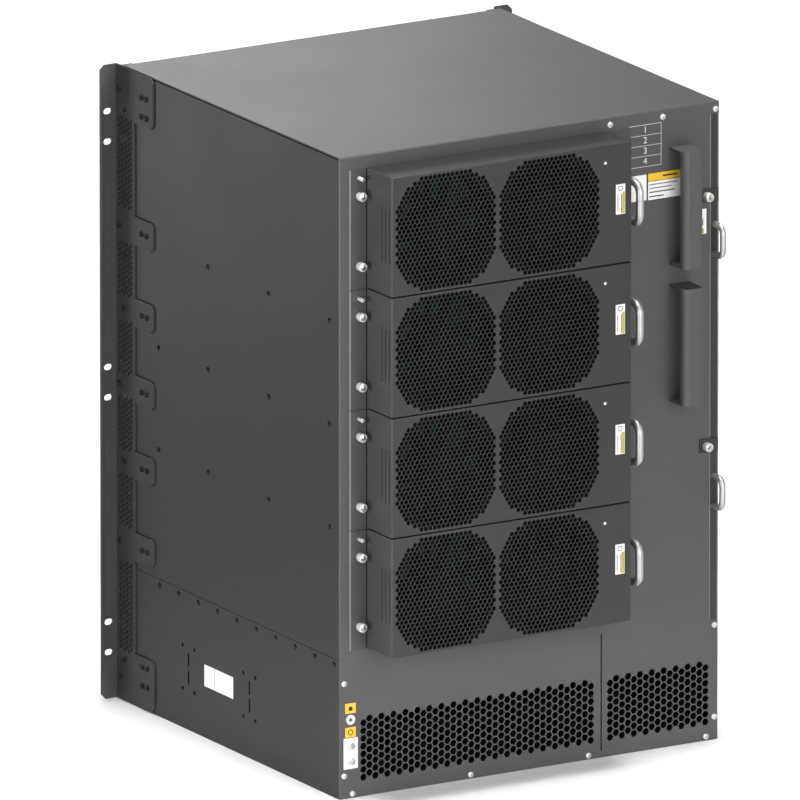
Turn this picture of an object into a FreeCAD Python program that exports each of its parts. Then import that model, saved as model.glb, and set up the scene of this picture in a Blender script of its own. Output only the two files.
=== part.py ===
import FreeCAD, Part
import math
import os
from FreeCAD import Placement, Rotation, Vector

# A 15-unit modular chassis switch for a 19-inch rack.
# Frame: +Z up, origin at the centre of the floor, cards and rack ears towards -Y,
# fan trays towards +Y. All sizes in millimetres.

doc = FreeCAD.newDocument("chassis_switch")

# ---------------------------------------------------------------------------
# Driving dimensions
# ---------------------------------------------------------------------------

SIZES = (
    # the box
    ("body_width", 442.0, "outer width of the box across X"),
    ("body_height", 664.0, "outer height of the box"),
    ("body_depth", 441.0, "from the ears' front face to the rear panel's face"),
    ("box_wall", 1.5, "sheet thickness of the box"),
    ("lip_reach", 12.0, "width of the folded lips"),
    ("cover_setback", 14.5, "top cover's front edge behind the ears' front face"),
    ("power_height", 144.0, "height of the lower housing up to the seam"),
    ("seam_gap", 0.5, "open seam between the lower housing and the side panels"),
    ("wall_setback", 2.0, "front edge of the side walls behind the ears' front face"),
    ("running_gap", 0.3, "clearance under a piece that slides"),
    # rack ears
    ("rack_width", 482.6, "width over the two ears"),
    ("ear_wall", 2.0, "sheet thickness of the ears"),
    ("ear_strip", 37.0, "depth of the ear's strip along the side"),
    ("ear_tab_reach", 75.0, "depth of the ear's tabs along the side"),
    ("ear_trim", 1.0, "ear's ends short of the box's ends"),
    ("ear_corner", 5.0, "cut corner of the ear's flange"),
    ("ear_slot_span", 465.1, "distance between the two columns of rack slots"),
    ("ear_slot_length", 9.3, "rack slot, end to end"),
    ("ear_slot_width", 6.8, "rack slot, across"),
    ("slot_offset_inner", 15.875, "inner pair of rack slots from mid-height"),
    ("slot_offset_middle", 250.825, "second pair of rack slots from mid-height"),
    ("slot_offset_outer", 282.575, "outer pair of rack slots from mid-height"),
    ("tab_offset_inner", 80.0, "inner pair of tabs from mid-height"),
    ("tab_offset_outer", 165.0, "second pair of tabs from mid-height"),
    ("tab_half_height", 15.0, "half the height of a small tab"),
    ("end_tab_height", 54.0, "height of the tabs at the ear's two ends"),
    ("end_screw_inner", 287.0, "inner row of end-tab screws from mid-height"),
    ("end_screw_outer", 307.0, "outer row of end-tab screws from mid-height"),
    ("strip_screw_near", 9.0, "near column of strip screws behind the front face"),
    ("strip_screw_far", 18.5, "far column of strip screws behind the front face"),
    ("tab_screw_near", 52.5, "near column of tab screws behind the front face"),
    ("tab_screw_far", 62.5, "far column of tab screws behind the front face"),
    ("field_near", 4.5, "near edge of the ear's perforated fields"),
    ("field_far", 34.0, "far edge of the ear's perforated fields"),
    ("field_offset_inner", 40.0, "inner pair of fields from mid-height"),
    ("field_offset_middle", 121.0, "second pair of fields from mid-height"),
    ("field_offset_outer", 231.5, "outer pair of fields from mid-height"),
    ("field_half_short", 29.0, "half the height of the inner fields"),
    ("field_half_long", 48.0, "half the height of the outer fields"),
    ("ear_hole_pitch", 7.4, "pitch of the ear's perforations"),
    ("ear_hole_web", 1.5, "metal left between the ear's perforations"),
    # screws
    ("screw_head_radius", 2.9, "head of a bright panel screw"),
    ("screw_head_height", 1.6, "height of a bright panel screw's head"),
    ("screw_shank_radius", 1.5, "shank of a panel screw"),
    ("screw_length", 6.0, "length of a panel screw under its head"),
    ("screw_clearance", 0.1, "clearance round a screw's shank or sunk head"),
    ("flush_head_radius", 3.2, "sunk head of a dark side screw"),
    ("side_screw_first", 181.5, "first column of side-panel screws behind the front face"),
    ("side_screw_pitch", 119.75, "spacing of the columns of side-panel screws"),
    ("side_screw_middle", 385.5, "height of the middle row of side-panel screws"),
    ("side_screw_rise", 106.75, "spacing of the rows of side-panel screws"),
    ("seam_screw_first", 84.0, "first screw of the row below the seam"),
    ("seam_screw_pitch", 38.5, "spacing of the screws below the seam"),
    ("seam_screw_drop", 6.0, "row of screws below the seam"),
    # lower side walls: fixing groups for clip-on side handles
    ("grip_hole_first", 130.0, "first column of the handle fixings"),
    ("grip_hole_span", 23.5, "spacing of the fixings' columns"),
    ("grip_hole_rise", 45.0, "spacing of the fixings' rows"),
    ("grip_group_pitch", 121.0, "spacing of the two groups of fixings"),
    ("grip_centre_height", 64.0, "height of the fixings' centre"),
    ("grip_hole_radius", 2.1, "radius of a handle fixing hole"),
    ("grip_slot_half_width", 1.4, "half the width of a hook slot"),
    ("grip_slot_height", 14.0, "height of a hook slot"),
    ("grip_slot_gap", 5.0, "metal between the two hook slots"),
    # fan trays
    ("tray_left", 188.5, "+X face of the trays' boxes"),
    ("tray_width", 278.5, "width of a tray's box"),
    ("tray_pitch", 124.4, "spacing of the trays"),
    ("tray_gap", 1.0, "open gap between two trays"),
    ("tray_stack_bottom", 152.9, "height of the lowest tray's space"),
    ("tray_proud", 48.0, "trays' faces proud of the rear panel"),
    ("tray_sleeve", 92.0, "depth of a tray inside the box"),
    ("tray_wall", 1.2, "sheet thickness of a tray"),
    ("tray_inset", 3.0, "sleeve smaller than the tray's box, each side"),
    ("tray_clearance", 0.8, "gap round the trays in the panel's opening"),
    ("flange_left", 21.4, "tray's flange towards +X"),
    ("flange_right", 27.0, "tray's flange towards -X"),
    ("flange_wall", 1.5, "thickness of the tray's flanges"),
    ("fan_pitch", 120.2, "spacing of the two fans of a tray"),
    ("fan_middle", 65.8, "X of the middle between the two fans"),
    ("fan_side", 119.0, "side of a fan's square frame"),
    ("fan_depth", 38.0, "depth of a fan"),
    ("fan_bore_radius", 56.5, "bore of a fan's frame"),
    ("fan_tip_radius", 55.0, "radius over the rotor's blades"),
    ("fan_hub_radius", 24.0, "radius of the rotor's hub"),
    ("fan_strut", 4.0, "struts and motor plate of a fan's frame"),
    ("fan_shaft_radius", 2.0, "radius of the rotor's shaft"),
    ("fan_shaft_gap", 0.05, "running clearance of the rotor's shaft"),
    ("blade_chord", 24.0, "chord of a blade"),
    ("blade_thickness", 2.0, "thickness of a blade"),
    ("blade_angle", 38.0, "pitch of a blade, degrees"),
    ("grille_width", 117.0, "width of a grille"),
    ("grille_height", 118.0, "height of a grille"),
    ("grille_radius", 67.5, "radius of a grille's rounded corners about its middle"),
    ("grille_pitch", 12.0, "pitch of the grille's holes"),
    ("grille_web", 2.2, "metal left between the grille's holes"),
    ("thumb_radius", 4.6, "radius of a captive thumbscrew's knob"),
    ("thumb_length", 7.5, "length of a thumbscrew's knob"),
    ("thumb_collar_radius", 3.4, "collar under a thumbscrew's knob"),
    ("thumb_collar", 1.6, "height of the collar"),
    ("thumb_shank_radius", 1.9, "radius of a thumbscrew's shank"),
    ("thumb_drop", 26.8, "upper thumbscrews below the tray's top"),
    ("thumb_rise", 72.4, "spacing of a flange's two thumbscrews"),
    ("thumb_inset", 10.6, "thumbscrews in from the flange's outer edge"),
    ("locating_pin_radius", 2.0, "locating pin on a tray's flange"),
    ("locating_pin_length", 8.0, "length of the locating pin"),
    ("locating_pin_drop", 8.9, "locating pin below the tray's top"),
    ("rib_slot_width", 1.0, "narrow slots in a tray's side"),
    ("rib_slot_height", 56.0, "height of the narrow slots"),
    ("rib_slot_pitch", 6.0, "spacing of the narrow slots"),
    ("rib_slot_first", 8.0, "first narrow slot behind the tray's face"),
    ("rod_radius", 4.0, "rod of a tray's handle"),
    ("rod_span", 41.5, "distance between the handle's legs"),
    ("rod_reach", 43.0, "handle's bar in front of the rear panel"),
    ("rod_drop", 6.0, "handle's middle below the tray's middle"),
    ("rod_bend", 11.0, "bend radius of the handle's rod"),
    ("rod_inset", 14.5, "handle in from the flange's outer edge"),
    # rear panel
    ("vent_top", 85.0, "top of the rear vent fields"),
    ("vent_bottom", 15.5, "bottom of the rear vent fields"),
    ("vent_margin_left", 22.0, "left field's edge from the box's +X side"),
    ("vent_margin_right", 10.4, "right field's edge from the box's -X side"),
    ("vent_pitch", 10.6, "pitch of the vent holes"),
    ("vent_web", 1.4, "metal left between the vent holes"),
    ("split_x", -84.0, "X of the slit between the two vent fields"),
    ("split_margin", 6.2, "vent fields clear of the slit"),
    ("slit_width", 1.5, "width of the slit"),
    ("slit_bottom", 7.5, "lower end of the slit"),
    ("slit_top", 129.0, "upper end of the slit"),
    ("top_screw_drop", 7.5, "rear panel's top screws below the top"),
    ("edge_screw_inset", 4.8, "rear panel's edge screws in from its sides"),
    ("foot_screw_rise", 4.6, "rear panel's lowest screws above the floor"),
    # air filter
    ("strip_width", 8.0, "width of the filter's face strip"),
    ("strip_bottom", 126.0, "lower end of the face strip"),
    ("strip_top", 651.0, "upper end of the face strip"),
    ("strip_gap", 0.4, "gap round the face strip"),
    ("filter_thickness", 6.4, "thickness of the filter's frame"),
    ("filter_depth", 362.0, "length of the filter's frame into the box"),
    ("filter_rim", 10.0, "width of the filter frame's rim"),
    ("media_thickness", 4.0, "thickness of the foam pad"),
    ("filter_tab_reach", 12.5, "tabs beside the face strip"),
    ("filter_tab_height", 14.0, "height of a tab"),
    ("filter_tab_upper", 568.0, "height of the upper tab"),
    ("filter_tab_lower", 308.3, "height of the lower tab"),
    ("wire_radius", 3.2, "wire of the filter's handles"),
    ("wire_span", 31.0, "distance between a wire handle's legs"),
    ("wire_reach", 17.5, "wire handle in front of the rear panel"),
    ("wire_bend", 8.0, "bend radius of the wire"),
    ("wire_upper", 521.9, "height of the upper wire handle"),
    ("wire_lower", 260.0, "height of the lower wire handle"),
    # carrying handles
    ("carry_left", -163.0, "+X edge of the carrying handles"),
    ("carry_width", 23.0, "width of a carrying handle"),
    ("carry_reach", 29.5, "carrying handle in front of the rear panel"),
    ("carry_height", 121.5, "height of a carrying handle"),
    ("carry_wall", 2.0, "sheet thickness of a carrying handle"),
    ("carry_lip", 9.0, "depth of the grip's folded sides"),
    ("carry_bend", 6.0, "outer bend radius of the grip"),
    ("carry_upper", 502.5, "foot of the upper carrying handle"),
    ("carry_lower", 360.5, "foot of the lower carrying handle"),
    # grounding and ESD
    ("ground_width", 16.0, "width of the grounding plate"),
    ("ground_height", 32.0, "height of the grounding plate"),
    ("ground_thickness", 1.2, "thickness of the grounding plate"),
    ("ground_inset", 4.4, "grounding plate in from the box's +X side"),
    ("ground_bottom", 31.0, "lower edge of the grounding plate"),
    ("ground_screw_rise", 16.0, "spacing of the grounding screws"),
    ("ground_screw_radius", 4.2, "head of a grounding screw"),
    ("ground_screw_head", 2.6, "height of a grounding screw's head"),
    ("ground_shank_radius", 2.4, "shank of a grounding screw"),
    ("socket_inset", 12.0, "ESD socket in from the box's +X side"),
    ("socket_height", 82.0, "height of the ESD socket"),
    ("socket_radius", 5.0, "ring of the ESD socket"),
    ("socket_bore", 2.0, "bore radius of the ESD socket"),
    ("socket_body_radius", 3.6, "body of the ESD socket"),
    ("socket_length", 14.0, "length of the ESD socket"),
    ("socket_ring", 1.8, "height of the socket's ring"),
    # card cage
    ("card_width", 404.0, "width of a card's board"),
    ("card_depth", 300.0, "length of a card's board"),
    ("board_thickness", 2.4, "thickness of a card's board"),
    ("face_setback", 4.0, "cards' faces behind the ears' front face"),
    ("face_wall", 1.5, "thickness of a card's or power module's face"),
    ("face_gap", 1.0, "gap between two neighbouring faces"),
    ("guide_gap", 1.0, "cards' boards clear of the guide walls"),
    ("guide_wall", 1.5, "thickness of the guide walls"),
    ("rail_reach", 8.0, "rails of the guide walls"),
    ("rail_thickness", 1.5, "thickness of a rail"),
    ("backplane_thickness", 3.2, "thickness of the backplane"),
    ("connector_length", 180.0, "length of a card's connector"),
    ("connector_height", 14.0, "height of a card's connector"),
    ("connector_depth", 12.0, "depth of a connector half"),
    ("board_rise", 6.0, "boards above the floor of their slot"),
    ("cage_window", 26.0, "height of the air windows"),
    ("latch_length", 42.0, "length of a card's latch"),
    ("latch_height", 9.0, "height of a card's latch"),
    ("latch_reach", 3.4, "latches in front of a card's face"),
    # power modules
    ("module_height", 124.0, "height of a power module's case"),
    ("module_depth", 270.0, "length of a power module's case"),
    ("module_wall", 1.0, "sheet thickness of a power module's case"),
    ("module_grip_reach", 26.0, "power module's handle in front of its face"),
    ("module_grip_span", 70.0, "length of a power module's handle"),
    ("module_grip_bar", 8.0, "bar of a power module's handle"),
    # side intake
    ("intake_slot_width", 6.0, "width of an intake slot"),
    ("intake_slot_height", 52.0, "height of an intake slot"),
    ("intake_pitch_y", 13.0, "spacing of the intake slots along the side"),
    ("intake_pitch_z", 61.0, "spacing of the rows of intake slots"),
)

TRAY_COUNT = 4
LINE_CARDS_ABOVE = 4
LINE_CARDS_BELOW = 4
CONTROL_CARDS = 2
CARD_COUNT = LINE_CARDS_ABOVE + CONTROL_CARDS + LINE_CARDS_BELOW
POWER_MODULES = 3
BLADES = 7
INTAKE_ROWS = 8
INTAKE_COLUMNS = 27
SIDE_SCREW_COLUMNS = 3
SEAM_SCREWS = 10

sizes = doc.addObject("Spreadsheet::Sheet", "Sizes")
for row, (alias, number, meaning) in enumerate(SIZES, start=1):
    sizes.set("A%d" % row, meaning)
    sizes.set("B%d" % row, str(number))
    sizes.setAlias("B%d" % row, alias)
doc.recompute()

# Places that are worked out from the driving dimensions.
PLACES = (
    ("rear_face", "Sizes.body_depth / 2"),
    ("front_face", "-Sizes.body_depth / 2"),
    ("panel_back", "rear_face - Sizes.box_wall"),
    ("half_width", "Sizes.body_width / 2"),
    ("inner_half", "half_width - Sizes.box_wall"),
    ("middle_height", "Sizes.body_height / 2"),
    ("wall_front", "front_face + Sizes.wall_setback"),
    ("cover_under", "Sizes.body_height - Sizes.box_wall"),
    ("shelf_under", "Sizes.power_height - Sizes.box_wall"),
    ("tray_right", "Sizes.tray_left - Sizes.tray_width"),
    ("tray_tall", "Sizes.tray_pitch - Sizes.tray_gap"),
    ("tray_face", "rear_face + Sizes.tray_proud"),
    ("tray_end", "rear_face - Sizes.tray_sleeve"),
    ("tray_stack_top", "Sizes.tray_stack_bottom + %d * Sizes.tray_pitch" % TRAY_COUNT),
    ("flange_face", "rear_face + Sizes.flange_wall"),
    ("fan_front", "tray_face - Sizes.tray_wall - Sizes.fan_depth"),
    ("guide_inner", "Sizes.card_width / 2 + Sizes.guide_gap"),
    ("guide_outer", "guide_inner + Sizes.guide_wall"),
    ("face_front", "front_face + Sizes.face_setback"),
    ("face_back", "face_front + Sizes.face_wall"),
    ("board_end", "face_back + Sizes.card_depth"),
    ("backplane_front", "board_end + Sizes.running_gap + Sizes.connector_depth"),
    ("backplane_back", "backplane_front + Sizes.backplane_thickness"),
    ("cage_floor", "Sizes.power_height + Sizes.box_wall + Sizes.seam_gap"),
    ("cage_ceiling", "cover_under - Sizes.box_wall - Sizes.seam_gap"),
    ("card_pitch", "(cage_ceiling - cage_floor) / %d" % CARD_COUNT),
    ("module_pitch", "2 * inner_half / %d" % POWER_MODULES),
    ("filter_outer", "-inner_half + Sizes.strip_gap"),
    ("notch_edge", "-half_width + Sizes.box_wall + Sizes.strip_width + 2 * Sizes.strip_gap"),
    ("filter_floor", "Sizes.power_height + Sizes.box_wall + Sizes.running_gap"),
    ("filter_top", "Sizes.strip_top - Sizes.box_wall"),
    ("filter_front", "panel_back - Sizes.filter_depth"),
    ("tab_inner_edge", "notch_edge + Sizes.filter_tab_reach"),
)
places = doc.addObject("Spreadsheet::Sheet", "Places")
for row, (alias, formula) in enumerate(PLACES, start=1):
    places.set("B%d" % row, "=" + formula)
    places.setAlias("B%d" % row, alias)
    doc.recompute()


def size(alias):
    """A driving dimension, as a number."""
    return float(sizes.get(alias))


def place(alias):
    """A place that is worked out from the driving dimensions, as a number."""
    return float(places.get(alias))


# ---------------------------------------------------------------------------
# Document objects bound to the sheets
# ---------------------------------------------------------------------------

ALONG = {
    "x": Rotation(Vector(0, 1, 0), 90),
    "y": Rotation(Vector(1, 0, 0), -90),
    "z": Rotation(),
}
nodes = []


def bind(item, formulas):
    for prop, formula in formulas.items():
        item.setExpression(prop, formula)
    return item


def at(corner):
    """Expressions of a placement's base from three formulas."""
    return {"Placement.Base." + axis: formula for axis, formula in zip("xyz", corner)}


def box(name, corner, extent):
    """A box from its lowest corner and its three extents, all given as formulas."""
    item = doc.addObject("Part::Box", name)
    bind(item, dict(zip(("Length", "Width", "Height"), extent)))
    return bind(item, at(corner))


def rod(name, start, radius, length, along="y"):
    """A cylinder from the centre of its first end, along one axis."""
    item = doc.addObject("Part::Cylinder", name)
    item.Placement = Placement(Vector(), ALONG[along])
    bind(item, {"Radius": radius, "Height": length})
    return bind(item, at(start))


def fuse(name, pieces):
    item = doc.addObject("Part::MultiFuse", name)
    item.Shapes = pieces
    item.Refine = True
    return item


def cut(name, base, tool):
    item = doc.addObject("Part::Cut", name)
    item.Base = base
    item.Tool = tool
    item.Refine = True
    return item


def group(name, pieces):
    item = doc.addObject("Part::Compound", name)
    item.Links = pieces
    return item


def feature(name, shape, position=Vector()):
    """An object whose shape is worked out here from the sheets' values."""
    item = doc.addObject("Part::Feature", name)
    item.Shape = shape
    item.Placement = Placement(position, Rotation())
    return item


def node(item, label):
    """Names a finished sub-part; the label is also its file's name."""
    item.Label = label
    nodes.append(item)
    return item


# ---------------------------------------------------------------------------
# Sheet metal: flat blanks with holes
# ---------------------------------------------------------------------------

def rear_plane(y):
    """Points of a sheet that faces the rear: (x, z) at this y."""
    return lambda u, v: Vector(u, y, v)


def side_plane(x):
    """Points of a sheet that faces the side: (y, z) at this x."""
    return lambda u, v: Vector(x, u, v)


def rectangle(u_low, u_high, v_low, v_high):
    return [(u_low, v_low), (u_high, v_low), (u_high, v_high), (u_low, v_high)]


def polygon(points, plane):
    corners = [plane(u, v) for u, v in points]
    return Part.makePolygon(corners + corners[:1])


def circle(u, v, radius, plane):
    normal = (plane(1, 0) - plane(0, 0)).cross(plane(0, 1) - plane(0, 0))
    return Part.Wire([Part.Circle(plane(u, v), normal, radius).toShape()])


def long_slot(u, v, length, width, plane):
    """A slot along u with half-round ends."""
    reach = length / 2 - width / 2
    half = width / 2
    left, right = u - reach, u + reach
    low, high = v - half, v + half
    return Part.Wire([
        Part.LineSegment(plane(left, low), plane(right, low)).toShape(),
        Part.Arc(plane(right, low), plane(right + half, v), plane(right, high)).toShape(),
        Part.LineSegment(plane(right, high), plane(left, high)).toShape(),
        Part.Arc(plane(left, high), plane(left - half, v), plane(left, low)).toShape(),
    ])


def hexagon(u, v, across, first_corner):
    """Corners of a hexagonal hole; first_corner is 0 for corners left and right, 30 for top and bottom."""
    radius = across / math.sqrt(3)
    angles = [math.radians(first_corner + 60 * k) for k in range(6)]
    return [(u + radius * math.cos(a), v + radius * math.sin(a)) for a in angles]


def staggered(u_low, u_high, v_low, v_high, pitch, across):
    """Centres of hexagonal holes in upright columns, every second column half a pitch higher."""
    step = pitch * math.sqrt(3) / 2
    columns = int((u_high - u_low - 1.3 * across) / step) + 1
    rows = int((v_high - v_low - 0.5 * pitch - 1.1 * across) / pitch) + 1
    u_first = (u_low + u_high) / 2 - (columns - 1) * step / 2
    v_first = (v_low + v_high) / 2 - (rows - 0.5) * pitch / 2
    for column in range(columns):
        for r in range(rows):
            yield (u_first + column * step, v_first + (r + 0.5 * (column % 2)) * pitch)


def blank(outline, holes, thickness):
    """A flat sheet: an outline and its holes, wires that turn the same way, made thick along a vector."""
    face = Part.Face(outline)
    cuts = []
    for wire in holes:
        inner = wire.copy()
        inner.reverse()
        cuts.append(inner)
    if cuts:
        face.cutHoles(cuts)
    return face.extrude(thickness)


def perforated(outline, holes, fields, plane, thickness):
    """A flat sheet whose perforated fields, (rectangle, holes) pairs, are made first and joined in."""
    windows = [polygon(corners, plane) for corners, _ in fields]
    patches = [blank(polygon(corners, plane), cuts, thickness) for corners, cuts in fields]
    return blank(outline, holes + windows, thickness).multiFuse(patches)


def hexagon_field(u_low, u_high, v_low, v_high, pitch, web, plane):
    """A rectangle filled with hexagonal holes in upright columns."""
    across = pitch - web
    centres = staggered(u_low, u_high, v_low, v_high, pitch, across)
    holes = [polygon(hexagon(u, v, across, 0), plane) for u, v in centres]
    return (rectangle(u_low, u_high, v_low, v_high), holes)


# ---------------------------------------------------------------------------
# Where the screws go
# ---------------------------------------------------------------------------

def ear_screw_points():
    """(distance behind the ears' front face, height) of every screw of an ear."""
    middle = place("middle_height")
    rows = ("end_screw_outer", "end_screw_inner", "tab_offset_outer", "tab_offset_inner")
    offsets = [size(row) for row in rows]
    heights = [middle + o for o in offsets] + [middle] + [middle - o for o in reversed(offsets)]
    points = []
    for index, height in enumerate(heights):
        strip = "strip_screw_near" if index % 2 == 0 else "strip_screw_far"
        points += [(size(column), height) for column in (strip, "tab_screw_near", "tab_screw_far")]
    return points


def panel_screw_points():
    """(distance, height) of the dark screws of the upper side panels."""
    heights = [size("side_screw_middle") + k * size("side_screw_rise") for k in (-1, 0, 1)]
    columns = [size("side_screw_first") + k * size("side_screw_pitch") for k in range(SIDE_SCREW_COLUMNS)]
    points = [(c, h) for c in columns for h in heights]
    points += [(size("ear_tab_reach") + 8.0, h) for h in heights[:2]]
    return points


def seam_screw_points():
    """(distance, height) of the row of dark screws below the seam."""
    height = size("power_height") - size("seam_screw_drop")
    return [(size("seam_screw_first") + k * size("seam_screw_pitch"), height) for k in range(SEAM_SCREWS)]


# ---------------------------------------------------------------------------
# Base pan: floor and the two lower side walls
# ---------------------------------------------------------------------------

def screw_holes(points, radius, z_low, z_high, plane):
    """Round holes at (distance behind the front face, height) points that lie within the sheet."""
    front = place("front_face")
    inside = [(front + d, h) for d, h in points if z_low < h < z_high]
    return [circle(y, z, radius + size("screw_clearance"), plane) for y, z in inside]


def field_heights():
    """(centre, half height) of an ear's perforated fields, from the top down."""
    middle = place("middle_height")
    long_half = size("field_half_long")
    short_half = size("field_half_short")
    fields = (
        ("field_offset_outer", long_half),
        ("field_offset_middle", short_half),
        ("field_offset_inner", short_half),
    )
    above = [(middle + size(offset), half) for offset, half in fields]
    return above + [(2 * middle - centre, half) for centre, half in reversed(above)]


def air_windows(z_low, z_high, plane):
    """Openings in a side wall behind the ear's perforated fields, kept inside the sheet's margins."""
    y_low = place("front_face") + size("field_near") + size("box_wall")
    y_high = place("front_face") + size("field_far") - size("box_wall")
    windows = []
    for centre, half in field_heights():
        low = max(centre - half + size("box_wall"), z_low + size("lip_reach"))
        high = min(centre + half - size("box_wall"), z_high - size("lip_reach"))
        if high - low > size("lip_reach"):
            windows.append(polygon(rectangle(y_low, y_high, low, high), plane))
    return windows


def grip_fixings(plane):
    """Four round holes and two hook slots for each clip-on side handle."""
    holes = []
    half_rise = size("grip_hole_rise") / 2
    middle = size("grip_centre_height")
    for k in range(2):
        y_first = place("front_face") + size("grip_hole_first") + k * size("grip_group_pitch")
        y_slot = y_first + size("grip_hole_span") / 2
        for y in (y_first, y_first + size("grip_hole_span")):
            for z in (middle - half_rise, middle + half_rise):
                holes.append(circle(y, z, size("grip_hole_radius"), plane))
        for sign in (-1, 1):
            near = middle + sign * size("grip_slot_gap") / 2
            far = near + sign * size("grip_slot_height")
            y_low = y_slot - size("grip_slot_half_width")
            y_high = y_slot + size("grip_slot_half_width")
            holes.append(polygon(rectangle(y_low, y_high, min(near, far), max(near, far)), plane))
    return holes


def lower_wall():
    """The +X wall of the base pan."""
    plane = side_plane(place("inner_half"))
    top = size("power_height") - size("seam_gap") / 2
    outline = polygon(rectangle(place("wall_front"), place("panel_back"), 0, top), plane)
    holes = screw_holes(ear_screw_points(), size("screw_shank_radius"), 0, top, plane)
    holes += screw_holes(seam_screw_points(), size("flush_head_radius"), 0, top, plane)
    holes += air_windows(0, top, plane) + grip_fixings(plane)
    return blank(outline, holes, Vector(size("box_wall"), 0, 0))


def mirrored(shape):
    return shape.mirror(Vector(), Vector(1, 0, 0))


floor = Part.makeBox(
    2 * place("inner_half"), place("panel_back") - place("wall_front"), size("box_wall"),
    Vector(-place("inner_half"), place("wall_front"), 0))
right_wall = lower_wall()
node(feature("BasePan", floor.multiFuse([right_wall, mirrored(right_wall)]).removeSplitter()), "base_pan")

# ---------------------------------------------------------------------------
# Middle shelf: closes the power section and carries the card cage
# ---------------------------------------------------------------------------

def shelf_lip():
    """The shelf's lip down the inside of the +X wall, drilled for the row of screws."""
    x_low = place("inner_half") - size("box_wall")
    plane = side_plane(x_low)
    low = size("power_height") - size("lip_reach")
    front = place("face_back") + size("box_wall")
    outline = polygon(rectangle(front, place("panel_back"), low, place("shelf_under")), plane)
    holes = screw_holes(seam_screw_points(), size("screw_shank_radius"), low, place("shelf_under"), plane)
    return blank(outline, holes, Vector(size("box_wall"), 0, 0))


shelf_plate = Part.makeBox(
    2 * place("inner_half"), place("panel_back") - place("wall_front"), size("box_wall"),
    Vector(-place("inner_half"), place("wall_front"), place("shelf_under")))
right_lip = shelf_lip()
shelf_shape = shelf_plate.multiFuse([right_lip, mirrored(right_lip)]).removeSplitter()
node(feature("MiddleShelf", shelf_shape), "middle_shelf")

# ---------------------------------------------------------------------------
# Side panels, with a folded foot and a folded top lip
# ---------------------------------------------------------------------------

def intake_fields(plane):
    """Rows of upright slots beside the air filter."""
    y_middle = (place("filter_front") + place("panel_back")) / 2
    z_middle = (place("filter_floor") + place("filter_top")) / 2
    half_width = size("intake_slot_width") / 2
    half_height = size("intake_slot_height") / 2
    half_row = INTAKE_COLUMNS * size("intake_pitch_y") / 2
    fields = []
    for level in range(INTAKE_ROWS):
        z = z_middle + (level - (INTAKE_ROWS - 1) / 2) * size("intake_pitch_z")
        slots = []
        for column in range(INTAKE_COLUMNS):
            y = y_middle + (column - (INTAKE_COLUMNS - 1) / 2) * size("intake_pitch_y")
            corners = rectangle(y - half_width, y + half_width, z - half_height, z + half_height)
            slots.append(polygon(corners, plane))
        margin = half_height + size("box_wall")
        fields.append((rectangle(y_middle - half_row, y_middle + half_row, z - margin, z + margin), slots))
    return fields


def side_panel(own_screws, own_fields):
    """A side panel on +X: its wall, with holes, and the two lips folded inwards."""
    plane = side_plane(place("inner_half"))
    low = size("power_height") + size("seam_gap") / 2
    high = place("cover_under")
    outline = polygon(rectangle(place("wall_front"), place("panel_back"), low, high), plane)
    holes = screw_holes(ear_screw_points(), size("screw_shank_radius"), low, high, plane)
    holes += screw_holes(own_screws, size("flush_head_radius"), low, high, plane)
    holes += air_windows(low, high, plane)
    wall = perforated(outline, holes, own_fields(plane), plane, Vector(size("box_wall"), 0, 0))
    lips = []
    for level in (size("power_height"), high - size("box_wall")):
        corner = Vector(place("inner_half") - size("lip_reach"), place("face_back") + size("box_wall"), level)
        depth = place("panel_back") - corner.y
        lips.append(Part.makeBox(size("lip_reach"), depth, size("box_wall"), corner))
    return wall.multiFuse(lips)


def no_fields(plane):
    return []


node(feature("RightPanel", side_panel(panel_screw_points(), no_fields)), "side_panel_right")
node(feature("LeftPanel", mirrored(side_panel([], intake_fields))), "side_panel_left")

# ---------------------------------------------------------------------------
# Top cover
# ---------------------------------------------------------------------------

cover_front = "Places.front_face + Sizes.cover_setback"
top_cover = box(
    "TopCover",
    ("-Places.half_width", cover_front, "Places.cover_under"),
    ("Sizes.body_width", "Places.panel_back - (%s)" % cover_front, "Sizes.box_wall"))
node(top_cover, "top_cover")

# ---------------------------------------------------------------------------
# Rear panel: one sheet with the fan opening, the filter notch and the vent fields
# ---------------------------------------------------------------------------

def tray_middle(tray):
    """Height of a tray's centre; tray 1 is the uppermost."""
    return size("tray_stack_bottom") + (TRAY_COUNT - tray + 0.5) * size("tray_pitch")


def thumb_points(tray):
    """(x, z) of the four captive thumbscrews of a tray."""
    upper = tray_middle(tray) + place("tray_tall") / 2 - size("thumb_drop")
    left = size("tray_left") + size("flange_left") - size("thumb_inset")
    right = place("tray_right") - size("flange_right") + size("thumb_inset")
    return [(x, z) for x in (left, right) for z in (upper, upper - size("thumb_rise"))]


def filter_screw_points():
    """(x, z) of the two captive screws of the air filter."""
    x = place("tab_inner_edge") - size("filter_tab_reach") / 2
    return [(x, size("filter_tab_upper")), (x, size("filter_tab_lower"))]


def rear_screw_points():
    """(x, z) of the bright screws that hold the rear panel."""
    edge = place("half_width") - size("edge_screw_inset")
    top = size("body_height") - size("top_screw_drop")
    foot = size("foot_screw_rise")
    spread = edge - 2 * size("edge_screw_inset")
    first = place("tray_right") - 2 * size("screw_shank_radius")
    points = [(first, top), ((first - edge) / 2, top), (-edge, top)]
    points += [(spread + k * (-2 * spread / 3), foot) for k in range(4)]
    upper = size("power_height") - 4 * size("screw_length")
    lower = 4 * size("screw_length")
    return points + [(x, z) for x in (edge, -edge) for z in (upper, lower)]


def ground_screw_points():
    """(x, z) of the two grounding screws."""
    x = place("half_width") - size("ground_inset") - size("ground_width") / 2
    middle = size("ground_bottom") + size("ground_height") / 2
    half_rise = size("ground_screw_rise") / 2
    return [(x, middle - half_rise), (x, middle + half_rise)]


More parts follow.
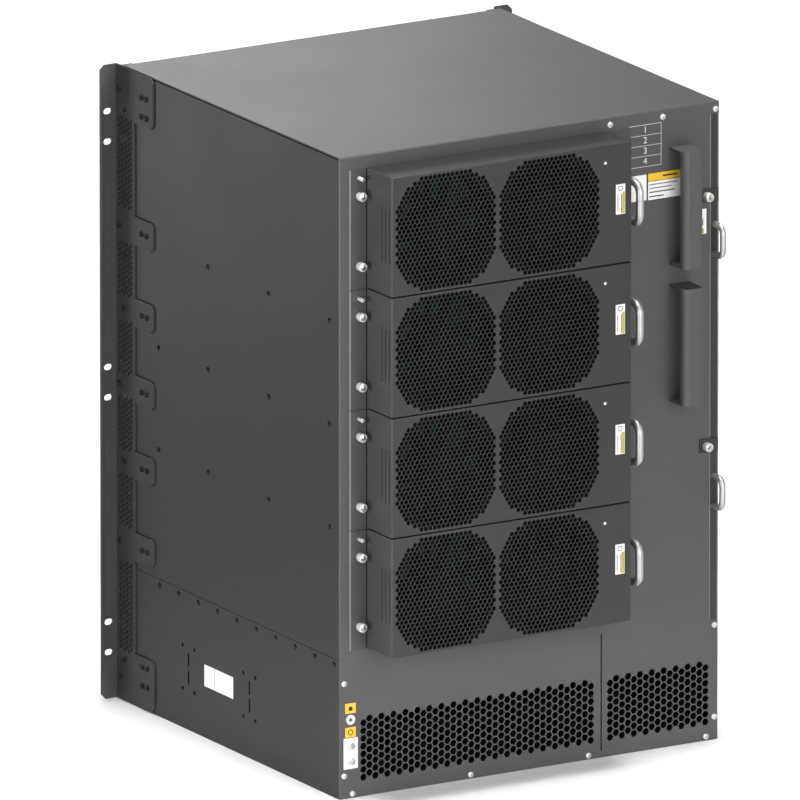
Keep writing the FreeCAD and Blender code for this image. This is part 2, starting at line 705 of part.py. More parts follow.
def vent_field(x_low, x_high, plane):
    low = size("vent_bottom")
    return hexagon_field(x_low, x_high, low, size("vent_top"), size("vent_pitch"), size("vent_web"), plane)


def rear_panel():
    plane = rear_plane(place("panel_back"))
    half = place("half_width")
    height = size("body_height")
    notch_low = size("strip_bottom") - size("strip_gap")
    notch_high = size("strip_top") + size("strip_gap")
    edge = place("notch_edge")
    outline = [(-half, 0), (half, 0), (half, height), (-half, height), (-half, notch_high)]
    outline += [(edge, notch_high), (edge, notch_low), (-half, notch_low)]
    gap = size("tray_inset") - size("tray_clearance")
    opening = rectangle(
        place("tray_right") + gap, size("tray_left") - gap,
        size("tray_stack_bottom") + gap, place("tray_stack_top") - gap)
    split = size("split_x")
    half_slit = size("slit_width") / 2
    slit = rectangle(split - half_slit, split + half_slit, size("slit_bottom"), size("slit_top"))
    holes = [polygon(opening, plane), polygon(slit, plane)]
    margin = size("split_margin")
    fields = [
        vent_field(split + margin, half - size("vent_margin_left"), plane),
        vent_field(-half + size("vent_margin_right"), split - margin, plane),
    ]
    clearance = size("screw_clearance")
    for tray in range(1, TRAY_COUNT + 1):
        holes += [circle(x, z, size("thumb_shank_radius") + clearance, plane) for x, z in thumb_points(tray)]
    holes += [circle(x, z, size("thumb_shank_radius") + clearance, plane) for x, z in filter_screw_points()]
    holes += [circle(x, z, size("screw_shank_radius") + clearance, plane) for x, z in rear_screw_points()]
    holes += [circle(x, z, size("ground_shank_radius") + clearance, plane) for x, z in ground_screw_points()]
    socket_x = half - size("socket_inset")
    holes.append(circle(socket_x, size("socket_height"), size("socket_body_radius") + clearance, plane))
    return perforated(polygon(outline, plane), holes, fields, plane, Vector(0, size("box_wall"), 0))


node(feature("RearPanel", rear_panel()), "rear_panel")

# ---------------------------------------------------------------------------
# Rack ears: perforated strip with tabs, and the slotted flange
# ---------------------------------------------------------------------------

def ear_outline():
    """(y, z) outline of the strip with its seven tabs, from the foot up along the tabs."""
    front = place("front_face")
    strip = front + size("ear_strip")
    reach = front + size("ear_tab_reach")
    low = size("ear_trim")
    high = size("body_height") - size("ear_trim")
    middle = place("middle_height")
    corner = size("ear_corner")
    inner, outer = size("tab_offset_inner"), size("tab_offset_outer")
    tabs = [(low, low + size("end_tab_height"))]
    for offset in (-outer, -inner, 0, inner, outer):
        tabs.append((middle + offset - size("tab_half_height"), middle + offset + size("tab_half_height")))
    tabs.append((high - size("end_tab_height"), high))
    points = [(front, low)]
    for bottom, top in tabs:
        points += [(strip, bottom)] if bottom > low else []
        points += [(reach - corner, bottom), (reach, bottom + corner)]
        points += [(reach, top - corner), (reach - corner, top)]
        points += [(strip, top)] if top < high else []
    points.append((front, high))
    return points


def ear():
    """The ear on +X."""
    plane = side_plane(place("half_width"))
    y_low = place("front_face") + size("field_near")
    y_high = place("front_face") + size("field_far")
    fields = []
    for centre, half in field_heights():
        low = centre - half
        fields.append(hexagon_field(
            y_low, y_high, low, centre + half, size("ear_hole_pitch"), size("ear_hole_web"), plane))
    holes = screw_holes(ear_screw_points(), size("screw_shank_radius"), 0, size("body_height"), plane)
    strip = perforated(polygon(ear_outline(), plane), holes, fields, plane, Vector(size("ear_wall"), 0, 0))
    plane = rear_plane(place("front_face"))
    inner = place("half_width") + size("ear_wall")
    outer = size("rack_width") / 2
    low = size("ear_trim")
    high = size("body_height") - size("ear_trim")
    corner = size("ear_corner")
    outline = [(inner, low), (outer - corner, low), (outer, low + corner), (outer, high - corner)]
    outline += [(outer - corner, high), (inner, high)]
    slots = []
    for offset in ("slot_offset_inner", "slot_offset_middle", "slot_offset_outer"):
        for sign in (-1, 1):
            z = place("middle_height") + sign * size(offset)
            slots.append(long_slot(
                size("ear_slot_span") / 2, z, size("ear_slot_length"), size("ear_slot_width"), plane))
    flange = blank(polygon(outline, plane), slots, Vector(0, size("ear_wall"), 0))
    return strip.fuse(flange)


right_ear = ear()
node(feature("RightEar", right_ear), "rack_ear_right")
node(feature("LeftEar", mirrored(right_ear)), "rack_ear_left")

# ---------------------------------------------------------------------------
# Guide walls of the card cage, with a rail under each board
# ---------------------------------------------------------------------------

def slot_floor(slot):
    """Height of a card slot's floor; slot 0 is the lowest."""
    return "(Places.cage_floor + %d * Places.card_pitch)" % slot


def board_floor(slot):
    return "(%s + Sizes.board_rise)" % slot_floor(slot)


def card_guide(side):
    """One guide wall; side is 1 for +X and -1 for -X."""
    tag = "Right" if side > 0 else "Left"
    inner = "Places.guide_inner" if side > 0 else "-Places.guide_outer"
    rail_edge = "Places.guide_inner - Sizes.rail_reach" if side > 0 else "-Places.guide_inner"
    start = "Places.face_back + Sizes.lip_reach"
    wall = box(
        "GuideWall" + tag,
        (inner, start, "Sizes.power_height"),
        ("Sizes.guide_wall", "Places.backplane_back - (%s)" % start,
         "Places.cover_under - Sizes.power_height"))
    windows = []
    rails = []
    for slot in range(CARD_COUNT):
        windows.append(box(
            "GuideWindow%s%d" % (tag, slot),
            (inner, start + " + 2 * Sizes.lip_reach", board_floor(slot) + " + Sizes.lip_reach"),
            ("Sizes.guide_wall", "Sizes.card_depth - 6 * Sizes.lip_reach", "Sizes.cage_window")))
        rails.append(box(
            "Rail%s%d" % (tag, slot),
            (rail_edge, start, board_floor(slot) + " - Sizes.running_gap - Sizes.rail_thickness"),
            ("Sizes.rail_reach", "Places.board_end - (%s)" % start, "Sizes.rail_thickness")))
    pierced = cut("GuidePierced" + tag, wall, group("GuideWindows" + tag, windows))
    return fuse("CardGuide" + tag, [pierced] + rails)


node(card_guide(1), "card_guide_right")
node(card_guide(-1), "card_guide_left")

# ---------------------------------------------------------------------------
# Backplane: board with air windows and one connector half for each card
# ---------------------------------------------------------------------------

def connector(name, slot, y_low):
    """A connector half on a board's upper face, in the middle of the card."""
    return box(
        name,
        ("-Sizes.connector_length / 2", y_low, board_floor(slot) + " + Sizes.board_thickness"),
        ("Sizes.connector_length", "Sizes.connector_depth", "Sizes.connector_height"))


backboard = box(
    "BackBoard",
    ("-Places.guide_inner", "Places.backplane_front", "Sizes.power_height"),
    ("2 * Places.guide_inner", "Sizes.backplane_thickness", "Places.cover_under - Sizes.power_height"))
board_windows = []
headers = []
for slot in range(CARD_COUNT):
    for side in (-1, 1):
        window_width = "(Places.guide_inner - Sizes.connector_length / 2 - 2 * Sizes.lip_reach)"
        x_low = "Sizes.connector_length / 2 + Sizes.lip_reach"
        if side < 0:
            x_low = "-(%s) - %s" % (x_low, window_width)
        board_windows.append(box(
            "BoardWindow%d%s" % (slot, "Right" if side > 0 else "Left"),
            (x_low, "Places.backplane_front", board_floor(slot) + " + Sizes.lip_reach"),
            (window_width, "Sizes.backplane_thickness", "Sizes.cage_window")))
    headers.append(connector("Header%d" % slot, slot, "Places.backplane_front - Sizes.connector_depth"))
pierced_board = cut("PiercedBoard", backboard, group("BoardWindows", board_windows))
node(fuse("Backplane", [pierced_board] + headers), "backplane")

# ---------------------------------------------------------------------------
# Line cards and control cards
# ---------------------------------------------------------------------------

def card(name, slot):
    """A plug-in card: board, face, connector half and the two latches on its face."""
    board = box(
        name + "Board",
        ("-Sizes.card_width / 2", "Places.face_back", board_floor(slot)),
        ("Sizes.card_width", "Sizes.card_depth", "Sizes.board_thickness"))
    face = box(
        name + "Face",
        ("-Places.inner_half + Sizes.face_gap / 2", "Places.face_front",
         slot_floor(slot) + " + Sizes.face_gap / 2"),
        ("2 * Places.inner_half - Sizes.face_gap", "Sizes.face_wall", "Places.card_pitch - Sizes.face_gap"))
    latch_low = slot_floor(slot) + " + Places.card_pitch / 2 - Sizes.latch_height / 2"
    latch_extent = ("Sizes.latch_length", "Sizes.latch_reach", "Sizes.latch_height")
    latch_front = "Places.face_front - Sizes.latch_reach"
    left_x = "-Places.inner_half + Sizes.lip_reach"
    left = box(name + "LatchLeft", (left_x, latch_front, latch_low), latch_extent)
    right_x = "Places.inner_half - Sizes.lip_reach - Sizes.latch_length"
    right = box(name + "LatchRight", (right_x, latch_front, latch_low), latch_extent)
    half = connector(name + "Connector", slot, "Places.board_end - Sizes.connector_depth")
    return fuse(name, [board, face, half, left, right])


for slot in range(CARD_COUNT):
    from_top = CARD_COUNT - slot
    if from_top <= LINE_CARDS_ABOVE:
        node(card("LineCard%d" % from_top, slot), "line_card_%d" % from_top)
    elif from_top <= LINE_CARDS_ABOVE + CONTROL_CARDS:
        number = from_top - LINE_CARDS_ABOVE
        node(card("ControlCard%d" % number, slot), "control_card_%d" % number)
    else:
        number = from_top - CONTROL_CARDS
        node(card("LineCard%d" % number, slot), "line_card_%d" % number)

# ---------------------------------------------------------------------------
# Power modules: closed case with an open grille at its end, face and handle
# ---------------------------------------------------------------------------

GRILLE_BARS = 6


def power_module(index):
    name = "Module%d" % (index + 1)
    x_low = "(-Places.inner_half + %d * Places.module_pitch)" % index
    case_low = x_low + " + Sizes.lip_reach / 2"
    case_width = "(Places.module_pitch - Sizes.lip_reach)"
    z_low = "(Sizes.box_wall + Sizes.running_gap)"
    outer = box(
        name + "Outer", (case_low, "Places.face_back", z_low),
        (case_width, "Sizes.module_depth", "Sizes.module_height"))
    inner = box(
        name + "Inner",
        (case_low + " + Sizes.module_wall", "Places.face_back", z_low + " + Sizes.module_wall"),
        (case_width + " - 2 * Sizes.module_wall", "Sizes.module_depth - Sizes.module_wall",
         "Sizes.module_height - 2 * Sizes.module_wall"))
    opening_step = "(%s - 2 * Sizes.lip_reach) / %d" % (case_width, GRILLE_BARS)
    openings = []
    for bar in range(GRILLE_BARS):
        openings.append(box(
            "%sOpening%d" % (name, bar),
            (case_low + " + Sizes.lip_reach + %d * %s" % (bar, opening_step),
             "Places.face_back + Sizes.module_depth - Sizes.module_wall", z_low + " + Sizes.lip_reach"),
            (opening_step + " - Sizes.face_wall", "Sizes.module_wall",
             "Sizes.module_height - 2 * Sizes.lip_reach")))
    case = cut(name + "Case", outer, group(name + "Hollows", [inner] + openings))
    face = box(
        name + "Face",
        (x_low + " + Sizes.face_gap / 2", "Places.face_front", z_low),
        ("Places.module_pitch - Sizes.face_gap", "Sizes.face_wall",
         "Places.shelf_under - 2 * Sizes.box_wall"))
    bar_size = "Sizes.module_grip_bar"
    grip_low = x_low + " + Places.module_pitch / 2 - Sizes.module_grip_span / 2"
    grip_front = "Places.face_front - Sizes.module_grip_reach"
    grip_z = z_low + " + Sizes.module_height / 2"
    bar_extent = ("Sizes.module_grip_span", bar_size, bar_size)
    grip = [box(name + "Grip", (grip_low, grip_front, grip_z), bar_extent)]
    for end, x in (("Left", grip_low), ("Right", grip_low + " + Sizes.module_grip_span - " + bar_size)):
        leg_y = grip_front + " + " + bar_size
        leg = (bar_size, "Sizes.module_grip_reach - " + bar_size, bar_size)
        grip.append(box(name + "Leg" + end, (x, leg_y, grip_z), leg))
    board = box(
        name + "Board",
        (case_low + " + Sizes.module_wall", "Places.face_back", z_low + " + 2 * Sizes.lip_reach"),
        (case_width + " - 2 * Sizes.module_wall", "Sizes.module_depth - 3 * Sizes.lip_reach",
         "Sizes.board_thickness"))
    core_side = "4 * Sizes.lip_reach"
    core = box(
        name + "Transformer",
        (x_low + " + Places.module_pitch / 2 - 2 * Sizes.lip_reach",
         "Places.face_back + Sizes.module_depth / 2",
         z_low + " + 2 * Sizes.lip_reach + Sizes.board_thickness"),
        (core_side, core_side, core_side))
    return fuse(name, [case, face, board, core] + grip)


for index in range(POWER_MODULES):
    node(power_module(index), "power_module_%d" % (index + 1))

# ---------------------------------------------------------------------------
# Guide walls of the fan bay, with a rail under each tray's sleeve
# ---------------------------------------------------------------------------

def fan_guide(side):
    """One guide wall beside the trays' sleeves; side is 1 for +X and -1 for -X."""
    if side > 0:
        tag = "Right"
        wall_x = "Sizes.tray_left - Sizes.tray_inset + Sizes.tray_clearance"
        rail_x = wall_x + " - Sizes.rail_reach"
    else:
        tag = "Left"
        wall_x = "Places.tray_right + Sizes.tray_inset - Sizes.tray_clearance - Sizes.guide_wall"
        rail_x = wall_x + " + Sizes.guide_wall"
    depth = "Sizes.tray_sleeve - Sizes.box_wall"
    wall = box(
        "FanWall" + tag, (wall_x, "Places.tray_end", "Sizes.power_height"),
        ("Sizes.guide_wall", depth, "Places.cover_under - Sizes.power_height"))
    rails = []
    for level in range(TRAY_COUNT):
        sleeve_floor = "Sizes.tray_stack_bottom + %d * Sizes.tray_pitch + Sizes.tray_gap / 2" % level
        rail_z = sleeve_floor + " + Sizes.tray_inset - Sizes.running_gap - Sizes.rail_thickness"
        rails.append(box(
            "FanRail%s%d" % (tag, level), (rail_x, "Places.tray_end", rail_z),
            ("Sizes.rail_reach", depth, "Sizes.rail_thickness")))
    return fuse("FanGuide" + tag, [wall] + rails)


node(fan_guide(1), "fan_guide_right")
node(fan_guide(-1), "fan_guide_left")

# ---------------------------------------------------------------------------
# Fan trays: shell with two grilles
# ---------------------------------------------------------------------------

def grille_holes(x_middle, plane):
    """Hexagonal holes, in level rows, within a square whose corners a circle cuts off."""
    pitch = size("grille_pitch")
    across = pitch - size("grille_web")
    row_step = pitch * math.sqrt(3) / 2
    reach_x = size("grille_width") / 2 - across / 2
    reach_z = size("grille_height") / 2 - across / math.sqrt(3)
    reach_round = size("grille_radius") - across / 2
    rows = int(reach_z / row_step)
    columns = int(2 * reach_x / pitch) + 1
    holes = []
    for row in range(-rows, rows + 1):
        for column in range(-columns, columns + 1):
            x = (column + 0.5 * (row % 2)) * pitch
            z = row * row_step
            if abs(x) <= reach_x and math.hypot(x, z) <= reach_round:
                holes.append(polygon(hexagon(x_middle + x, z, across, 30), plane))
    return holes


def tray_plate(x_low, x_high, y_low, y_high, z_low, z_high):
    return Part.makeBox(x_high - x_low, y_high - y_low, z_high - z_low, Vector(x_low, y_low, z_low))


def tray_shell():
    """A tray's shell about its own mid-height: face, four walls, flanges, and the sleeve inside the box."""
    wall = size("tray_wall")
    left = size("tray_left")
    right = place("tray_right")
    half = place("tray_tall") / 2
    back = place("rear_face")
    front = place("tray_face")
    inset = size("tray_inset")
    plane = rear_plane(front - wall)
    half_fan = size("fan_pitch") / 2
    fields = []
    for x in (size("fan_middle") + half_fan, size("fan_middle") - half_fan):
        reach = size("grille_width") / 2 + wall / 2
        rise = size("grille_height") / 2 + wall / 2
        fields.append((rectangle(x - reach, x + reach, -rise, rise), grille_holes(x, plane)))
    outline = polygon(rectangle(right + wall, left - wall, -half + wall, half - wall), plane)
    face = perforated(outline, [], fields, plane, Vector(0, wall, 0))
    side = side_plane(left - wall)
    slot_half = size("rib_slot_width") / 2
    slot_rise = size("rib_slot_height") / 2
    slots = []
    for k in range(3):
        y = front - size("rib_slot_first") - k * size("rib_slot_pitch")
        slots.append(polygon(rectangle(y - slot_half, y + slot_half, -slot_rise, slot_rise), side))
    left_wall = blank(polygon(rectangle(back, front, -half, half), side), slots, Vector(wall, 0, 0))
    right_wall = tray_plate(right, right + wall, back, front, -half, half)
    top = tray_plate(right + wall, left - wall, back, front, half - wall, half)
    bottom = tray_plate(right + wall, left - wall, back, front, -half, -half + wall)
    lip = inset + wall
    step = [
        tray_plate(right + wall, right + lip, back, back + wall, -half + wall, half - wall),
        tray_plate(left - lip, left - wall, back, back + wall, -half + wall, half - wall),
        tray_plate(right + lip, left - lip, back, back + wall, -half + wall, -half + lip),
    ]
    end = place("tray_end")
    sleeve_low = -half + inset
    sleeve_high = half - inset
    sleeve = [
        tray_plate(right + inset, right + lip, end, back, sleeve_low, sleeve_high),
        tray_plate(left - lip, left - inset, end, back, sleeve_low, sleeve_high),
        tray_plate(right + lip, left - lip, end, back, sleeve_low, sleeve_low + wall),
    ]
    plane = rear_plane(back)
    radius = size("thumb_shank_radius") + size("screw_clearance")
    points = [(x, z - tray_middle(1)) for x, z in thumb_points(1)]
    flanges = []
    for x_low, x_high in ((right - size("flange_right"), right), (left, left + size("flange_left"))):
        holes = [circle(x, z, radius, plane) for x, z in points if x_low < x < x_high]
        outline = polygon(rectangle(x_low, x_high, -half, half), plane)
        flanges.append(blank(outline, holes, Vector(0, size("flange_wall"), 0)))
    return face.multiFuse([left_wall, right_wall, top, bottom] + step + sleeve + flanges)


shell = tray_shell()
for tray in range(1, TRAY_COUNT + 1):
    position = Vector(0, 0, tray_middle(tray))
    node(feature("Tray%d" % tray, shell.copy(), position), "tray_%d" % tray)

# ---------------------------------------------------------------------------
# Fans: square frame with motor plate, and a rotor with pitched blades
# ---------------------------------------------------------------------------

def tray_height(tray):
    """Formula of a tray's mid-height; tray 1 is the uppermost."""
    return "(Sizes.tray_stack_bottom + %.1f * Sizes.tray_pitch)" % (TRAY_COUNT - tray + 0.5)


def fan_x(fan):
    sign = "+" if fan == "a" else "-"
    return "(Sizes.fan_middle %s Sizes.fan_pitch / 2)" % sign


def fan_frame(name, x, z):
    """A fan's frame: bored square block, motor plate and four struts, drilled for the shaft."""
    side = "Sizes.fan_side"
    corner = (x + " - Sizes.fan_side / 2", "Places.fan_front", z + " - Sizes.fan_side / 2")
    block = box(name + "Block", corner, (side, "Sizes.fan_depth", side))
    bore = rod(name + "Bore", (x, "Places.fan_front", z), "Sizes.fan_bore_radius", "Sizes.fan_depth")
    ring = cut(name + "Ring", block, bore)
    plate = rod(name + "Plate", (x, "Places.fan_front", z), "Sizes.fan_hub_radius", "Sizes.fan_strut")
    strut_z = z + " - Sizes.fan_strut / 2"
    strut_x = x + " - Sizes.fan_strut / 2"
    level = box(name + "Level", (corner[0], corner[1], strut_z), (side, "Sizes.fan_strut", "Sizes.fan_strut"))
    upright_extent = ("Sizes.fan_strut", "Sizes.fan_strut", side)
    upright = box(name + "Upright", (strut_x, corner[1], corner[2]), upright_extent)
    solid = fuse(name + "Solid", [ring, plate, level, upright])
    radius = "Sizes.fan_shaft_radius + Sizes.fan_shaft_gap"
    return cut(name, solid, rod(name + "Hole", (x, "Places.fan_front", z), radius, "Sizes.fan_strut"))


def rotor_shape():
    """Hub, shaft and pitched blades about the Y axis, from the motor plate's inner face."""
    strut = size("fan_strut")
    hub_low = strut + size("running_gap")
    hub_depth = size("fan_depth") - 2 * strut
    along = Vector(0, 1, 0)
    hub = Part.makeCylinder(size("fan_hub_radius"), hub_depth, Vector(0, hub_low, 0), along)
    shaft = Part.makeCylinder(size("fan_shaft_radius"), hub_low, Vector(), along)
    chord = size("blade_chord")
    thickness = size("blade_thickness")
    root = size("fan_hub_radius") - thickness
    tip = math.sqrt(size("fan_tip_radius") ** 2 - (chord / 2) ** 2)
    blades = []
    for k in range(BLADES):
        blade = Part.makeBox(tip - root, thickness, chord, Vector(root, -thickness / 2, -chord / 2))
        blade.rotate(Vector(), Vector(1, 0, 0), size("blade_angle"))
        blade.translate(Vector(0, hub_low + hub_depth / 2, 0))
        blade.rotate(Vector(), along, 360.0 * k / BLADES)
        blades.append(blade)
    return hub.multiFuse([shaft] + blades)


rotor = rotor_shape()
for tray in range(1, TRAY_COUNT + 1):
    frames = []
    for fan in ("a", "b"):
        name = "Fan%d%s" % (tray, fan)
        frames.append(fan_frame(name, fan_x(fan), tray_height(tray)))
        sign = 1 if fan == "a" else -1
        x = size("fan_middle") + sign * size("fan_pitch") / 2
        position = Vector(x, place("fan_front"), tray_middle(tray))
        node(feature("Rotor%d%s" % (tray, fan), rotor.copy(), position), "tray_%d_rotor_%s" % (tray, fan))
    node(group("Fans%d" % tray, frames), "tray_%d_fan_frames" % tray)

# ---------------------------------------------------------------------------
# Bent-rod handles
# ---------------------------------------------------------------------------

def bow(name, x, foot, bar_y, z, span, bend, radius):
    """A rod bent into a U: two legs along Y, two quarter bends and an upright bar."""
    low = "(%s - %s / 2)" % (z, span)
    high = "(%s + %s / 2)" % (z, span)
    knee = "(%s - %s)" % (bar_y, bend)
    pieces = [
        rod(name + "LegLow", (x, foot, low), radius, knee + " - " + foot),
        rod(name + "LegHigh", (x, foot, high), radius, knee + " - " + foot),
        rod(name + "Bar", (x, bar_y, low + " + " + bend), radius, span + " - 2 * " + bend, "z"),
    ]
    for tag, turn, height in (("Low", 90, low + " + " + bend), ("High", -90, high + " - " + bend)):
        elbow = doc.addObject("Part::Torus", name + "Elbow" + tag)
        elbow.Placement = Placement(Vector(), Rotation(Vector(0, 1, 0), turn))
        bind(elbow, {"Radius1": bend, "Radius2": radius, "Angle3": "90"})
        bind(elbow, at((x, knee, height)))
        pieces.append(elbow)
    return fuse(name, pieces)


for tray in range(1, TRAY_COUNT + 1):
    handle_x = "(Places.tray_right - Sizes.flange_right + Sizes.rod_inset)"
    handle = bow(
        "TrayHandle%d" % tray, handle_x, "Places.flange_face", "(Places.rear_face + Sizes.rod_reach)",
        tray_height(tray) + " - Sizes.rod_drop", "Sizes.rod_span", "Sizes.rod_bend", "Sizes.rod_radius")
    node(handle, "tray_%d_handle" % tray)

# ---------------------------------------------------------------------------
# Screws, all along one axis, given by the centre of the face they sit on
# ---------------------------------------------------------------------------

def captive_screw(name, x, y, z):
    """A captive thumbscrew on a sheet whose outer face is at y: knob, collar and shank."""
    collar = rod(name + "Collar", (x, y, z), "Sizes.thumb_collar_radius", "Sizes.thumb_collar")
    knob = rod(name + "Knob", (x, y + " + Sizes.thumb_collar", z), "Sizes.thumb_radius", "Sizes.thumb_length")
    shank_y = y + " - Sizes.screw_length"
    shank = rod(name + "Shank", (x, shank_y, z), "Sizes.thumb_shank_radius", "Sizes.screw_length")
    return fuse(name, [collar, knob, shank])


for tray in range(1, TRAY_COUNT + 1):
    upper = tray_height(tray) + " + Places.tray_tall / 2 - Sizes.thumb_drop"
    left = "Sizes.tray_left + Sizes.flange_left - Sizes.thumb_inset"
    right = "Places.tray_right - Sizes.flange_right + Sizes.thumb_inset"
    pieces = []
    for tag, x in (("Left", left), ("Right", right)):
        for level, z in (("Upper", upper), ("Lower", upper + " - Sizes.thumb_rise")):
            pieces.append(captive_screw("Thumb%d%s%s" % (tray, tag, level), x, "Places.flange_face", z))
    pin_z = tray_height(tray) + " + Places.tray_tall / 2 - Sizes.locating_pin_drop"
    pieces.append(rod(
        "Pin%d" % tray, (left, "Places.flange_face", pin_z),
        "Sizes.locating_pin_radius", "Sizes.locating_pin_length"))
    node(group("TrayFasteners%d" % tray, pieces), "tray_%d_fasteners" % tray)


def screw(point, outward, head_radius, head_height, shank_radius, length):
    """A screw whose head stands on point and whose shank runs the other way."""
    head = Part.makeCylinder(head_radius, head_height, point, outward)
    shank = Part.makeCylinder(shank_radius, length, point, -outward)
    return head.fuse(shank).removeSplitter()


def bright_screws():
    """The rear panel's screws, the grounding screws and the screws of both ears."""
    length = size("screw_length")
    panel = (size("screw_head_radius"), size("screw_head_height"), size("screw_shank_radius"), length)
    ground = (size("ground_screw_radius"), size("ground_screw_head"), size("ground_shank_radius"), length)
    back = Vector(0, 1, 0)
    plate_face = place("rear_face") + size("ground_thickness")
    screws = [screw(Vector(x, place("rear_face"), z), back, *panel) for x, z in rear_screw_points()]
    screws += [screw(Vector(x, plate_face, z), back, *ground) for x, z in ground_screw_points()]
    for side in (-1, 1):
        x = side * (place("half_width") + size("ear_wall"))
        for distance, z in ear_screw_points():
            point = Vector(x, place("front_face") + distance, z)
            screws.append(screw(point, Vector(side, 0, 0), *panel))
    return Part.makeCompound(screws)


def flush_screws():
    """Dark screws sunk in the side walls: both rows below the seam, and the +X panel's own."""
    head = size("flush_head_radius")
    wall = size("box_wall")
    shank = (size("screw_shank_radius"), size("screw_length") - wall)
    points = [(side, d, z) for side in (-1, 1) for d, z in seam_screw_points()]
    points += [(1, d, z) for d, z in panel_screw_points()]
    screws = []
    for side, distance, z in points:
        seat = Vector(side * place("inner_half"), place("front_face") + distance, z)
        screws.append(screw(seat, Vector(side, 0, 0), head, wall, *shank))
    return Part.makeCompound(screws)


node(feature("BrightScrews", bright_screws()), "panel_screws")
node(feature("FlushScrews", flush_screws()), "side_screws")

# ---------------------------------------------------------------------------
# Air filter: rim with face strip and tabs, foam pad, wire handles, captive screws
# ---------------------------------------------------------------------------

filter_tall = "(Places.filter_top - Places.filter_floor)"
pad_y = "Places.filter_front + Sizes.filter_rim"
pad_z = "Places.filter_floor + Sizes.filter_rim"
pad_depth = "Sizes.filter_depth - 2 * Sizes.filter_rim"
pad_height = filter_tall + " - 2 * Sizes.filter_rim"
rim_block = box(
    "FilterBlock", ("Places.filter_outer", "Places.filter_front", "Places.filter_floor"),
    ("Sizes.filter_thickness", "Sizes.filter_depth", filter_tall))
rim_window = box(
    "FilterWindow", ("Places.filter_outer", pad_y, pad_z), ("Sizes.filter_thickness", pad_depth, pad_height))
strip = box(
    "FilterStrip", ("Places.filter_outer", "Places.panel_back", "Sizes.strip_bottom"),
    ("Sizes.strip_width", "Sizes.box_wall", "Sizes.strip_top - Sizes.strip_bottom"))
tabs = []
tab_screws = []
for tag in ("upper", "lower"):
    z = "Sizes.filter_tab_" + tag
    tab = box(
        "FilterTab" + tag.title(),
        ("Places.filter_outer", "Places.rear_face", z + " - Sizes.filter_tab_height / 2"),
        ("Places.tab_inner_edge - Places.filter_outer", "Sizes.box_wall", "Sizes.filter_tab_height"))
    screw_x = "Places.tab_inner_edge - Sizes.filter_tab_reach / 2"
    drill = rod(
        "FilterDrill" + tag.title(), (screw_x, "Places.rear_face", z),
        "Sizes.thumb_shank_radius + Sizes.screw_clearance", "Sizes.box_wall")
    tabs.append(cut("FilterTabDrilled" + tag.title(), tab, drill))
    tab_face = "(Places.rear_face + Sizes.box_wall)"
    tab_screws.append(captive_screw("FilterScrew" + tag.title(), screw_x, tab_face, z))
rim = cut("FilterRim", rim_block, rim_window)
node(fuse("FilterFrame", [rim, strip] + tabs), "filter_frame")
node(group("FilterScrews", tab_screws), "filter_screws")

media_x = "Places.filter_outer + (Sizes.filter_thickness - Sizes.media_thickness) / 2"
media = box("FilterMedia", (media_x, pad_y, pad_z), ("Sizes.media_thickness", pad_depth, pad_height))
node(media, "filter_media")

wires = []
for tag in ("upper", "lower"):
    wires.append(bow(
        "WireHandle" + tag.title(), "(Places.filter_outer + Sizes.strip_width / 2)", "Places.rear_face",
        "(Places.rear_face + Sizes.wire_reach)", "Sizes.wire_" + tag,
        "Sizes.wire_span", "Sizes.wire_bend", "Sizes.wire_radius"))
node(group("WireHandles", wires), "filter_handles")

# ---------------------------------------------------------------------------
# Carrying handles: folded grip with two arms
# ---------------------------------------------------------------------------

def rounded_strip(reach_back, wall):
    """Section of the grip from above, its front corners rounded; wall of 0 gives the full outline."""
    left = size("carry_left")
    right = left - size("carry_width")
    front = place("rear_face") + size("carry_reach")
    back = front - reach_back
    corner = size("carry_bend")
    diagonal = 1 - math.sqrt(0.5)

    def half_loop(inset):
        """From the -X back corner round the front to the +X back corner."""
        bend = corner - inset
        x_low = right + inset
        x_high = left - inset
        y_high = front - inset
        knee = Vector(x_low + bend * diagonal, y_high - bend * diagonal, 0)
        other = Vector(x_high - bend * diagonal, y_high - bend * diagonal, 0)
        return [
            Part.LineSegment(Vector(x_low, back, 0), Vector(x_low, y_high - bend, 0)),
            Part.Arc(Vector(x_low, y_high - bend, 0), knee, Vector(x_low + bend, y_high, 0)),
            Part.LineSegment(Vector(x_low + bend, y_high, 0), Vector(x_high - bend, y_high, 0)),
            Part.Arc(Vector(x_high - bend, y_high, 0), other, Vector(x_high, y_high - bend, 0)),
            Part.LineSegment(Vector(x_high, y_high - bend, 0), Vector(x_high, back, 0)),
        ]

    curves = half_loop(0)
    if wall:
        curves += half_loop(wall)
        curves.append(Part.LineSegment(Vector(right, back, 0), Vector(right + wall, back, 0)))
        curves.append(Part.LineSegment(Vector(left, back, 0), Vector(left - wall, back, 0)))
    else:
        curves.append(Part.LineSegment(Vector(right, back, 0), Vector(left, back, 0)))
    edges = Part.sortEdges([curve.toShape() for curve in curves])[0]
    return Part.Face(Part.Wire(edges))


def carrying_handle():
    """A handle whose foot is at height 0."""
    wall = size("carry_wall")
    height = size("carry_height")
    grip = rounded_strip(size("carry_lip"), wall).extrude(Vector(0, 0, height))
    arm = rounded_strip(size("carry_reach"), 0).extrude(Vector(0, 0, wall))
    upper = arm.translated(Vector(0, 0, height - wall))
    return grip.multiFuse([arm, upper]).removeSplitter()


handle_shape = carrying_handle()
for tag in ("upper", "lower"):
    position = Vector(0, 0, size("carry_" + tag))
    node(feature("Carry" + tag.title(), handle_shape.copy(), position), "carrying_handle_" + tag)

# ---------------------------------------------------------------------------
# Grounding plate and ESD socket
# ---------------------------------------------------------------------------

